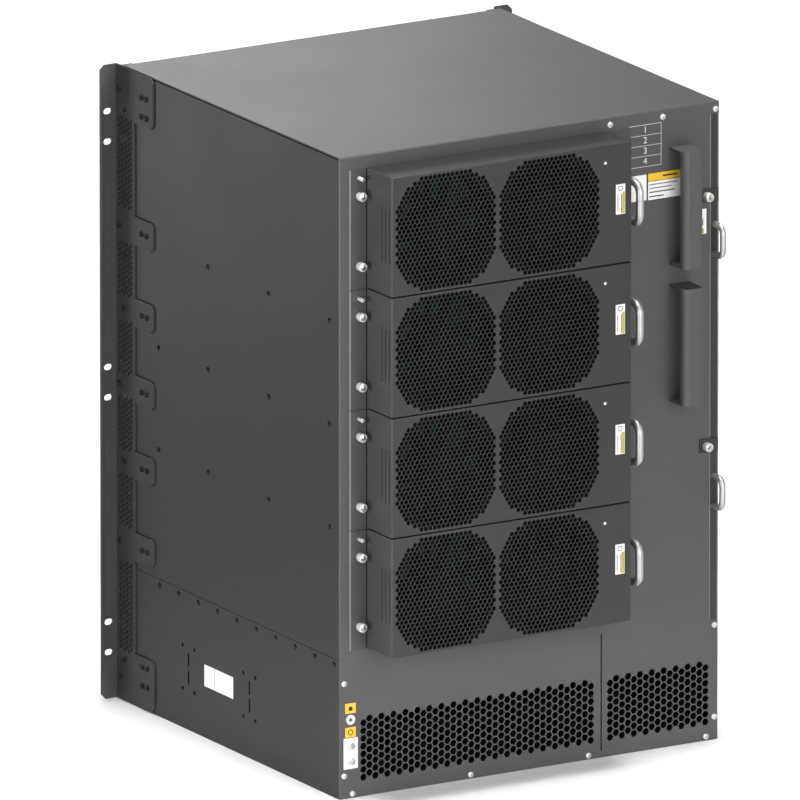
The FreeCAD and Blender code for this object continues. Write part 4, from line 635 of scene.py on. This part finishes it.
HOOD_DEPTH = 0.048
HOOD_SHEET = 0.0012
HOOD_ROUNDING = 0.0010
HOOD_LEFT, HOOD_RIGHT = 0.1885, -0.0900
LABEL_ROOM = 0.0003      # the hood's face stays this far back, so its labels lie in the box
FLARE_DEPTH, FLARE_WIDTH, FLARE_STEPS = 0.016, 0.0012, 4
GRILLE_X = (0.1259, 0.0057)
GRILLE_PITCH, GRILLE_RISE, GRILLE_WEB = 0.0051, 0.00436, 0.00055
GRILLE_CUT, GRILLE_RADIUS = 0.0565, 0.0650
GRILLE_SIDE, GRILLE_TOP = 0.0594, 0.0598
GROOVE_FIRST, GROOVE_PITCH = 0.005, 0.0072
GROOVE_HALF, GROOVE_REACH = 0.0005, 0.028
SKIRT_INSET = 0.003
SKIRT_DEPTH = 0.0042
FLANGE_SHEET, FLANGE_ROUNDING, FLANGE_LAP = 0.0015, 0.0005, 0.0012
GAP_SHADOW_START, GAP_SHADOW_END, GAP_SHADOW_SHEET = 0.0003, 0.0022, 0.0006
RIM_WIDTH, RIM_ROUNDING = 0.0012, 0.0003
tray_grey = powder_coat("tray_grey", (0.021, 0.0203, 0.0203), 0.45)
# A lighter copy of the tray's paint, for faces the light falls on: painted light.
tray_lit_grey = powder_coat("tray_lit_grey", (0.044, 0.0430, 0.0432), 0.50)
grille = []
for row in range(-13, 14):
    for column in range(-12, 13):
        u, v = (column + 0.5 * (row % 2)) * GRILLE_PITCH, row * GRILLE_RISE
        if abs(u) < GRILLE_CUT and math.hypot(u, v) < GRILLE_RADIUS:
            grille.append((u, v))
for tray in range(1, 5):
    node = "tray_%d" % tray
    body = "fan_tray_%d" % tray
    tray_low, tray_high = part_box(node)
    middle = (tray_low.z + tray_high.z) / 2
    half = (tray_high.z - tray_low.z) / 2
    low, high = middle - half, middle + half
    face = tray_high.y - LABEL_ROOM
    foot = tray_high.y - HOOD_DEPTH
    hood = bmesh.new()
    slab(hood, (HOOD_RIGHT, foot, low), (HOOD_LEFT, face, high))
    back = [f for f in hood.faces if f.calc_center_median().y < foot + TOUCH]
    bmesh.ops.delete(hood, geom=back, context="FACES")
    for step in range(1, FLARE_STEPS + 1):
        whole = hood.verts[:] + hood.edges[:] + hood.faces[:]
        cut = (0, foot + FLARE_DEPTH * step / FLARE_STEPS, 0)
        bmesh.ops.bisect_plane(hood, geom=whole, plane_co=cut, plane_no=(0, 1, 0), dist=1e-6)
    for vert in hood.verts:
        if vert.co.x > HOOD_LEFT - TOUCH:
            share = max(0.0, 1.0 - (vert.co.y - foot) / FLARE_DEPTH)
            vert.co.x += FLARE_WIDTH * share ** 2
    folds = [e for e in hood.edges if not e.is_boundary and e.calc_face_angle(0.0) > 0.9]
    round_edges(hood, folds, HOOD_ROUNDING, 3)
    front_face = [f for f in hood.faces if f.normal.y > 0.99 and f.calc_area() > 0.01]
    left_wall = [f for f in hood.faces if f.normal.x > 0.99 and f.calc_area() > 0.003]
    front_lines = list(front_face[0].edges)
    left_lines = list(left_wall[0].edges)
    bmesh.ops.delete(hood, geom=front_face + left_wall, context="FACES_ONLY")
    facing = standing(0.0, face, middle)
    for x in GRILLE_X:
        front_lines += punched_field(
            hood, facing, rectangle(x - GRILLE_SIDE, x + GRILLE_SIDE, -GRILLE_TOP, GRILLE_TOP),
            [(x + u, v) for u, v in grille], GRILLE_PITCH, GRILLE_WEB, 0.0)
    fill(hood, front_lines)
    beside = lengthwise(HOOD_LEFT)
    for groove in range(3):
        y = face - GROOVE_FIRST - groove * GROOVE_PITCH
        left_lines += outline(hood, beside, rectangle(
            y - GROOVE_HALF, y + GROOVE_HALF, middle - GROOVE_REACH, middle + GROOVE_REACH))
    fill(hood, left_lines)
    thicken(hood, Vector((0, -1, 0)), HOOD_SHEET)
    for x_low, x_high, z_high in (
            (HOOD_RIGHT + SKIRT_INSET, HOOD_RIGHT + SKIRT_DEPTH, high - SKIRT_INSET),
            (HOOD_LEFT - SKIRT_DEPTH, HOOD_LEFT - SKIRT_INSET, high - SKIRT_INSET),
            (HOOD_RIGHT + SKIRT_DEPTH, HOOD_LEFT - SKIRT_DEPTH, low + SKIRT_DEPTH)):
        slab(hood, (x_low, tray_low.y, low + SKIRT_INSET), (x_high, foot, z_high))
    shell = settle(hood, node + "_hood", body, "painted_steel", tray_grey, node)
    # Painted light: the faces looking toward +X take the lighter grey.
    two_tone(shell, tray_lit_grey, 0)
    # The flanges take the lighter grey too: painted light.
    flanges = bmesh.new()
    outer = tray_high.x - RIM_WIDTH
    for start, end in (
            (tray_low.x, HOOD_RIGHT + FLANGE_LAP), (HOOD_LEFT + GAP_SHADOW_END, outer)):
        slab(flanges, (start, foot, low), (end, foot + FLANGE_SHEET, high), FLANGE_ROUNDING)
    settle(flanges, node + "_flanges", body, "painted_steel", tray_lit_grey)
    # Painted shadow: a near-black strip in the gap between the hood and its +X flange.
    gap_shadow = bmesh.new()
    slab(
        gap_shadow, (HOOD_LEFT + GAP_SHADOW_START, foot, low),
        (HOOD_LEFT + GAP_SHADOW_END, foot + GAP_SHADOW_SHEET, high))
    settle(gap_shadow, node + "_gasket", body, "painted_steel", seam_shadow)
    # Painted highlight: a light strip along the outer edge of the +X flange.
    rim = bmesh.new()
    slab(rim, (outer, foot, low), (tray_high.x, foot + FLANGE_SHEET, high), RIM_ROUNDING)
    settle(rim, node + "_rim", body, "painted_steel", edge_highlight)

# Fans: black glass-filled plastic, moulded with a fine matt texture; their black is set darker
# still and their sheen low, as painted shade inside the hoods. Each rotor turns on its own
# shaft behind the grille.

moulded = Finish("fan_shaded_black")
place = moulded.place()
pores = moulded.noise(place, 1100.0, 3.0)
flow = moulded.noise(place, 60.0, 2.0)
fan_shaded_black = moulded.close({
    "Base Color": moulded.blend(flow, (0.0014, 0.0014, 0.0015, 1.0), (0.0028, 0.0028, 0.0030, 1.0)),
    "Roughness": 0.55 + pores * 0.14,
    "Specular IOR Level": 0.05,
    "Normal": moulded.bump(pores, 0.25, 0.0002),
})
for tray in range(1, 5):
    for part in ("fan_frames", "rotor_a", "rotor_b"):
        dress(fan_shaded_black, "tray_%d_%s" % (tray, part))

# Handles of the trays and of the filter: bent steel rod, satin chrome with faint drawing
# lines along it.


def bright_metal(name, tone, gloss, grain, metallic=1.0):
    """Plated metal with fine lines and a slightly uneven sheen."""
    metal = Finish(name)
    place = metal.place()
    lines = metal.noise(place, grain, 4.0)
    patch = metal.noise(place, 70.0, 2.0)
    return metal.close({
        "Base Color": metal.blend(patch, shade(tone, 0.92), shade(tone, 1.04)),
        "Metallic": metallic,
        "Roughness": gloss + lines * 0.12,
        "Normal": metal.bump(lines, 0.10, 0.0001),
    })


satin_chrome = bright_metal("satin_chrome", (0.50, 0.50, 0.49), 0.42, 1500.0, 0.95)
dress(satin_chrome, *["tray_%d_handle" % tray for tray in range(1, 5)], "filter_handles")

# Captive thumbscrews, panel screws and grounding screws: nickel-plated steel, turned, the
# thumbscrews' knobs knurled; every head has a cross recess. The side panels' are black.

REAR_Y = 0.2205          # the rear panel's outer face
KNOB_REST = 0.0015       # the thumbscrews stand on the flanges
SIDE_X = 0.2195          # where the flush heads of the side panels sit
THUMB_X, THUMB_DROPS = (0.1993, -0.1064), (0.0268, 0.0992)
PIN_DROP = 0.0089
FILTER_THUMBS = (-0.20445, (0.568, 0.3083))
REAR_SCREWS = (
    (-0.0930, 0.6565), (-0.1546, 0.6565), (-0.2162, 0.6565), (0.2066, 0.0046),
    (0.06887, 0.0046), (-0.06887, 0.0046), (-0.2066, 0.0046), (0.2162, 0.120),
    (0.2162, 0.024), (-0.2162, 0.120), (-0.2162, 0.024))
GROUND_SCREWS = (0.2086, (0.039, 0.055))
EAR_SCREW_RISES = (0.307, 0.287, 0.165, 0.080, 0.0, -0.080, -0.165, -0.287, -0.307)
SHELF_SCREW_Z, SHELF_SCREW_START, SHELF_SCREW_PITCH = 0.138, 0.084, 0.0385
GUIDE_HEIGHTS = (0.27875, 0.3855, 0.49225)
GUIDE_SCREWS = (         # distance behind the flange, and heights
    (0.1815, GUIDE_HEIGHTS), (0.30125, GUIDE_HEIGHTS), (0.421, GUIDE_HEIGHTS),
    (0.083, GUIDE_HEIGHTS[:2]))


def raised(bm, faces, height):
    """Extrudes faces along Z and gives back the moved faces."""
    made = bmesh.ops.extrude_face_region(bm, geom=faces)["geom"]
    moved = [item for item in made if isinstance(item, bmesh.types.BMVert)]
    bmesh.ops.translate(bm, vec=(0, 0, height), verts=moved)
    return [item for item in made if isinstance(item, bmesh.types.BMFace)]


def top_faces(bm, height):
    """The flat faces that look up at a height."""
    return [
        f for f in bm.faces
        if f.normal.z > 0.99 and abs(f.calc_center_median().z - height) < 1e-6]


def recessed(bm, height, width, reach, depth):
    """Sinks a cross into a flat top."""
    for way in (Vector((1, 0, 0)), Vector((0, 1, 0))):
        for distance in (-reach, -width / 2, width / 2, reach):
            near = dict.fromkeys(
                item for face in top_faces(bm, height)
                for item in (face, *face.edges, *face.verts))
            bmesh.ops.bisect_plane(
                bm, geom=list(near), plane_co=way * distance, plane_no=way, dist=1e-7)
    arms = []
    for face in top_faces(bm, height):
        across, along = sorted(map(abs, face.calc_center_median().xy))
        if across < width / 2 and along < reach:
            arms.append(face)
    raised(bm, arms, -depth)


def screw_mesh(name, rounds, width, reach, depth, knurl=0.0, steps=16):
    """A turned head of (radius, height) rounds with a rounded rim and a cross in its top."""
    head = bmesh.new()
    bmesh.ops.create_circle(head, cap_ends=True, segments=steps, radius=rounds[0][0])
    bmesh.ops.recalc_face_normals(head, faces=head.faces)
    if head.faces[:][0].normal.z < 0:
        bmesh.ops.reverse_faces(head, faces=head.faces)
    top = list(head.faces)
    last = rounds[-1][0]
    for radius, height in rounds:
        verts = list(dict.fromkeys(v for f in top for v in f.verts))
        share = radius / max(v.co.xy.length for v in verts)
        around = sorted(verts, key=lambda v: math.atan2(v.co.y, v.co.x))
        for count, vert in enumerate(around):
            valley = 1.0 - knurl * (count % 2) * (radius == last)
            vert.co.x *= share * valley
            vert.co.y *= share * valley
        top = raised(head, top, height)
    round_edges(head, list(top[0].edges), last * 0.12, 2)
    recessed(head, max(v.co.z for v in head.verts), width, reach, depth)
    shape = bpy.data.meshes.new(name)
    head.to_mesh(shape)
    head.free()
    return shape


def stamp(bm, shape, spot, facing):
    """Copies a small mesh to a spot, its Z axis along facing."""
    before = len(bm.verts)
    bm.from_mesh(shape)
    bm.verts.ensure_lookup_table()
    turn = Vector(facing).to_track_quat("Z", "Y").to_matrix().to_4x4()
    bmesh.ops.transform(bm, matrix=Matrix.Translation(spot) @ turn, verts=bm.verts[before:])


nickel = bright_metal("nickel", (0.76, 0.75, 0.73), 0.46, 2400.0, 0.7)
black_zinc = bright_metal("black_zinc", (0.030, 0.029, 0.030), 0.38, 1800.0)
pan_head = screw_mesh("pan_head", ((0.0029, 0.0016),), 0.0009, 0.0018, 0.0009)
ground_head = screw_mesh("ground_head", ((0.0042, 0.0026),), 0.0015, 0.0033, 0.0022)
flush_head = screw_mesh("flush_head", ((0.0032, 0.0015),), 0.0010, 0.0020, 0.0010)
knob = screw_mesh("knob", ((0.0034, 0.0016), (0.0046, 0.0075)), 0.0010, 0.0030, 0.0012, 0.07, 28)
pin = screw_mesh("pin", ((0.0020, 0.0080),), 0.0004, 0.0008, 0.0002)
bright = bmesh.new()
for x, z in REAR_SCREWS:
    stamp(bright, pan_head, (x, REAR_Y, z), (0, 1, 0))
for z in GROUND_SCREWS[1]:
    stamp(bright, ground_head, (GROUND_SCREWS[0], REAR_Y + 0.0012, z), (0, 1, 0))
settle(bright, "bright_screws", "chassis", "bright_metal", nickel, "panel_screws")
dark = bmesh.new()
for side in (-1, 1):
    for count, rise in enumerate(EAR_SCREW_RISES):
        for depth in (0.0185 if count % 2 else 0.0090, 0.0525, 0.0625):
            stamp(dark, pan_head, (side * STRIP_X, depth - REAR_Y, MID_HEIGHT + rise), (side, 0, 0))
for side in (-1, 1):
    for count in range(10):
        y = SHELF_SCREW_START + count * SHELF_SCREW_PITCH - REAR_Y
        stamp(dark, flush_head, (side * SIDE_X, y, SHELF_SCREW_Z), (side, 0, 0))
for depth, heights in GUIDE_SCREWS:
    for z in heights:
        stamp(dark, flush_head, (SIDE_X, depth - REAR_Y, z), (1, 0, 0))
settle(dark, "flush_screws", "chassis", "dark_screws", black_zinc, "side_screws")
for tray in range(1, 5):
    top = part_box("tray_%d" % tray)[1].z
    thumbs = bmesh.new()
    for x in THUMB_X:
        for drop in THUMB_DROPS:
            stamp(thumbs, knob, (x, REAR_Y + KNOB_REST, top - drop), (0, 1, 0))
    stamp(thumbs, pin, (THUMB_X[0], REAR_Y + KNOB_REST, top - PIN_DROP), (0, 1, 0))
    settle(
        thumbs, "tray_%d_thumbscrews" % tray, "fan_tray_%d" % tray, "bright_metal", nickel,
        "tray_%d_fasteners" % tray)
thumbs = bmesh.new()
for z in FILTER_THUMBS[1]:
    stamp(thumbs, knob, (FILTER_THUMBS[0], REAR_Y + KNOB_REST, z), (0, 1, 0))
settle(
    thumbs, "filter_thumbscrews", "air_filter", "bright_metal", nickel, "filter_screws")

# Air filter: a painted steel frame with a long face strip, and in it a pad of black
# reticulated foam, whose open cells show as a fine web.

dress(tray_grey, "filter_frame")
sponge = Finish("filter_foam")
cells = sponge.node(
    "TexVoronoi", {"feature": "DISTANCE_TO_EDGE"}, {"Vector": sponge.place(), "Scale": 420.0})
sponge_black = sponge.close({
    "Base Color": sponge.blend(cells * 2.5, (0.022, 0.022, 0.023, 1.0), (0.004, 0.004, 0.004, 1.0)),
    "Roughness": 0.85,
    "Normal": sponge.bump(cells, 0.6, 0.001),
})
dress(sponge_black, "filter_media")

# Carrying handles: two upright grips folded from 2 mm steel and fixed to the rear panel,
# powder-coated in its own grey.

dress(rear_grey, "carrying_handle_upper", "carrying_handle_lower")

# Grounding plate and wrist-strap socket: a small plate of tin-plated steel under the two
# grounding screws, and a nickel-plated brass ring pressed into the panel.

tin_plate = bright_metal("tin_plate", (0.80, 0.80, 0.79), 0.48, 900.0, 0.6)
dress(tin_plate, "ground_plate", "esd_socket")

# Printed and stuck-on fields: white and yellow vinyl labels with plain bars and rings, thin
# white printed lines round the four bay numbers, and a small white dot on each tray.

PRINT = 0.00015          # how far a stuck-on film stands out
OVERPRINT = 0.0002
BOLD = 0.00025
TABLE_LOW, TABLE_PITCH = 0.6075, 0.01083
TABLE_LEFT, TABLE_RIGHT = -0.1159, -0.1529
TABLE_LINE = 0.00022
NUMERAL_SIZE, NUMERAL_X, NUMERAL_DEPTH = 0.0095, -0.1344, 0.00003


def vinyl(name, tone, gloss):
    """Printed film: a soft sheen, slightly mottled ink and a trace of the sheet beneath."""
    film = Finish(name)
    place = film.place()
    ink = film.noise(place, 260.0, 4.0)
    press = film.noise(place, 30.0, 2.0)
    return film.close({
        "Base Color": film.blend(ink * 0.6 + press * 0.4, shade(tone, 0.90), shade(tone, 1.02)),
        "Roughness": gloss + ink * 0.10,
        "Normal": film.bump(ink, 0.08, 0.0001),
    })


white_film = vinyl("white_film", (0.80, 0.80, 0.78), 0.38)
yellow_film = vinyl("yellow_film", (0.72, 0.46, 0.02), 0.38)
white_ink = vinyl("white_ink", (0.62, 0.62, 0.61), 0.55)
black_ink = vinyl("black_ink", (0.012, 0.012, 0.012), 0.50)
brown_ink = vinyl("brown_ink", (0.10, 0.022, 0.018), 0.45)
dull_yellow = vinyl("dull_yellow", (0.42, 0.36, 0.06), 0.45)


def fields(name, body, material, y, areas, height=PRINT):
    """Thin rectangles on a rear face, each given by its left, right, low and high edges."""
    bm = bmesh.new()
    for left, right, low, high in areas:
        slab(bm, (right, y, low), (left, y + height, high))
    settle(bm, name, body, "painted_steel", material)


def discs(name, body, material, y, spots):
    """Thin printed discs or rings on a rear face, each given by its x, z and two radiuses."""
    bm = bmesh.new()
    for x, z, outer, inner in spots:
        facing = standing(x, y + OVERPRINT, z)
        lines = ring(bm, facing, 0.0, 0.0, outer, 24)
        if inner:
            lines += ring(bm, facing, 0.0, 0.0, inner, 24)
        fill(bm, lines)
    thicken(bm, Vector((0, -1, 0)), OVERPRINT)
    settle(bm, name, body, "painted_steel", material)


def side_fields(name, material, areas):
    """Thin rectangles on the +X side, each given by its front, back, low and high edges."""
    bm = bmesh.new()
    for near, far, low, high in areas:
        slab(bm, (0.221, near - REAR_Y, low), (0.221 + PRINT, far - REAR_Y, high))
    settle(bm, name, "chassis", "painted_steel", material)


fields(
    "rear_label_edges", "chassis", black_ink, REAR_Y, ((-0.1364, -0.1786, 0.5715, 0.6003),),
    0.0001)
fields("rear_label_white", "chassis", white_film, REAR_Y, (
    (-0.1179, -0.1358, 0.5727, 0.5992), (-0.1377, -0.1780, 0.5722, 0.5910)), OVERPRINT)
fields(
    "rear_label_yellow", "chassis", yellow_film, REAR_Y, ((-0.1377, -0.1780, 0.5916, 0.5996),),
    OVERPRINT)
fields("rear_label_bars", "chassis", black_ink, REAR_Y, (
    (-0.1392, -0.1722, 0.5875, 0.5884), (-0.1392, -0.1650, 0.5836, 0.5845),
    (-0.1392, -0.1690, 0.5794, 0.5806), (-0.1392, -0.1562, 0.5749, 0.5761),
    (-0.1548, -0.1716, 0.5948, 0.5965)), BOLD)
fields("ground_fields", "chassis", yellow_film, REAR_Y, (
    (0.2146, 0.2023, 0.0883, 0.0987), (0.2146, 0.2023, 0.0634, 0.0738)))
rows = [TABLE_LOW + row * TABLE_PITCH for row in range(5)]
table = [(TABLE_LEFT, TABLE_RIGHT, z - TABLE_LINE, z + TABLE_LINE) for z in rows]
table += [(x + TABLE_LINE, x - TABLE_LINE, rows[0], rows[4]) for x in (TABLE_LEFT, TABLE_RIGHT)]
fields("bay_table", "chassis", white_ink, REAR_Y, table, 0.00005)
for number in range(1, 5):
    words = bpy.data.curves.new("numeral", "FONT")
    words.body = str(number)
    words.size = NUMERAL_SIZE
    words.extrude = NUMERAL_DEPTH
    words.align_x = "CENTER"
    words.align_y = "CENTER"
    sample = bpy.data.objects.new("numeral", words)
    bpy.context.collection.objects.link(sample)
    bpy.context.view_layer.update()
    solid = sample.evaluated_get(bpy.context.evaluated_depsgraph_get())
    shape = bpy.data.meshes.new_from_object(solid)
    bpy.data.objects.remove(sample)
    numeral = bmesh.new()
    numeral.from_mesh(shape)
    bpy.data.meshes.remove(shape)
    height = rows[4] - (number - 0.5) * TABLE_PITCH
    facing = Matrix((
        (-1, 0, 0, NUMERAL_X), (0, 0, 1, REAR_Y + NUMERAL_DEPTH), (0, 1, 0, height), (0, 0, 0, 1)))
    bmesh.ops.transform(numeral, matrix=facing, verts=numeral.verts)
    bmesh.ops.remove_doubles(numeral, verts=numeral.verts, dist=1e-6)
    settle(numeral, "bay_numeral_%d" % number, "chassis", "painted_steel", white_ink)
for tray in range(1, 5):
    low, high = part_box("tray_%d" % tray)
    body = "fan_tray_%d" % tray
    label = "tray_%d_label_" % tray
    top, face = high.z, high.y - LABEL_ROOM
    fields(
        label + "white", body, white_film, face, ((-0.0716, -0.0823, top - 0.0728, top - 0.0419),))
    fields(
        label + "yellow", body, dull_yellow, face,
        ((-0.0786, -0.0820, top - 0.0722, top - 0.0500),), OVERPRINT)
    fields(label + "bars", body, black_ink, face, (
        (-0.0730, -0.0734, top - 0.0700, top - 0.0520),
        (-0.0740, -0.0744, top - 0.0700, top - 0.0520),
        (-0.0775, -0.0783, top - 0.0716, top - 0.0520)), OVERPRINT)
    discs(label + "ring", body, brown_ink, face, ((-0.0768, top - 0.0463, 0.0028, 0.0020),))
    discs("tray_%d_lamp" % tray, body, white_film, face, ((-0.0593, top - 0.0179, 0.0015, 0.0),))
fields(
    "filter_label_white", "chassis", white_film, REAR_Y, ((-0.2000, -0.2060, 0.5285, 0.5545),))
fields(
    "filter_label_yellow", "chassis", dull_yellow, REAR_Y, ((-0.2000, -0.2030, 0.5290, 0.5345),),
    OVERPRINT)
fields(
    "filter_label_bar", "chassis", black_ink, REAR_Y, ((-0.2014, -0.2023, 0.5375, 0.5445),),
    OVERPRINT)
discs("ground_marks", "chassis", black_ink, REAR_Y + PRINT, (
    (0.2085, 0.0932, 0.0024, 0.0), (0.2085, 0.0686, 0.0030, 0.0022)))
side_fields("side_label_white", white_film, (
    (0.1735, 0.1938, 0.0540, 0.0765), (0.1946, 0.2305, 0.0540, 0.0765)))
side_fields("side_label_edges", black_ink, ((0.1938, 0.1946, 0.0540, 0.0765),))

# The room: a plain pale floor of matt paper under a dim white sky, and seven soft boxes.
# One of them lights the backdrop behind the chassis, the others its sides.

floor_mesh = bmesh.new()
bmesh.ops.create_grid(floor_mesh, x_segments=1, y_segments=1, size=40.0)
ground = bpy.data.meshes.new("floor")
floor_mesh.to_mesh(ground)
floor_mesh.free()
floor = bpy.data.objects.new("floor", ground)
bpy.context.collection.objects.link(floor)
paper = Finish("pale_floor")
grain = paper.noise(paper.place(), 3.0, 2.0)
floor.data.materials.append(paper.close({
    "Base Color": paper.blend(grain, (0.70, 0.70, 0.70, 1.0), (0.74, 0.74, 0.74, 1.0)),
    "Roughness": 0.9,
}))
world = bpy.data.worlds.new("sky")
world.use_nodes = True
sky = world.node_tree.nodes["Background"].inputs
sky["Color"].default_value = (1.0, 1.0, 1.0, 1.0)
sky["Strength"].default_value = 0.20
bpy.context.scene.world = world
bpy.context.scene.view_settings.view_transform = "Standard"


def soft_box(name, place, aim, size, power, spread=180.0):
    """A lamp that looks at a point; a small spread keeps its light to a beam."""
    lamp = bpy.data.lights.new(name, "AREA")
    lamp.shape = "RECTANGLE"
    lamp.size, lamp.size_y = size
    lamp.spread = math.radians(spread)
    lamp.energy = power
    held = bpy.data.objects.new(name, lamp)
    held.location = place
    held.rotation_euler = (Vector(aim) - Vector(place)).to_track_quat("-Z", "Y").to_euler()
    held.visible_camera = False
    bpy.context.collection.objects.link(held)
    return held


backdrop_lamp = soft_box(
    "backdrop_lamp", (-0.78, -1.16, 2.6), (-0.78, -1.16, 0.0), (1.3, 4.8), 25.0, 20.0)
backdrop_lamp.rotation_euler = (0.0, 0.0, math.radians(-30.64))
soft_box("overhead", (0.18, -0.10, 1.90), (0.18, -0.10, 0.0), (0.6, 0.6), 4.0)
soft_box("rear_fill", (0.20, 3.20, 1.20), (0.20, 0.20, 0.35), (2.4, 2.4), 88.0)
soft_box("side_fill", (1.10, -1.70, 0.22), (0.22, 0.0, 0.35), (0.5, 0.5), 4.0)
soft_box("top_sheen", (-1.15, -3.40, 1.62), (0.0, 0.0, 0.66), (1.6, 1.6), 20.0)
soft_box("hood_light", (3.0, 1.0, 0.7), (0.20, 0.25, 0.35), (1.2, 1.2), 70.0)
soft_box("edge_light", (-2.4, 0.80, 0.60), (-0.22, 0.22, 0.35), (0.8, 1.4), 8.0)

# The camera: a very long lens far off, looking down a little at the rear and the +X side,
# so the chassis' parallel edges stay nearly parallel.

CAMERA_TURN, CAMERA_RISE = math.radians(149.352), math.radians(15.240)
CAMERA_DISTANCE = 35.775
AIM_ASIDE, AIM_ABOVE = -0.01740, 0.00041
away = Vector((
    math.sin(CAMERA_TURN) * math.cos(CAMERA_RISE), -math.cos(CAMERA_TURN) * math.cos(CAMERA_RISE),
    math.sin(CAMERA_RISE)))
across = Vector((0, 0, 1)).cross(away).normalized()
aim = Vector((0.0, 0.0, MID_HEIGHT)) + across * AIM_ASIDE + away.cross(across) * AIM_ABOVE
optics = bpy.data.cameras.new("camera")
optics.lens = 1600.0
optics.sensor_width = 36.0
optics.clip_start = 0.5
optics.clip_end = 200.0
camera = bpy.data.objects.new("camera", optics)
camera.location = aim + away * CAMERA_DISTANCE
camera.rotation_euler = away.to_track_quat("Z", "Y").to_euler()
bpy.context.collection.objects.link(camera)
bpy.context.scene.camera = camera
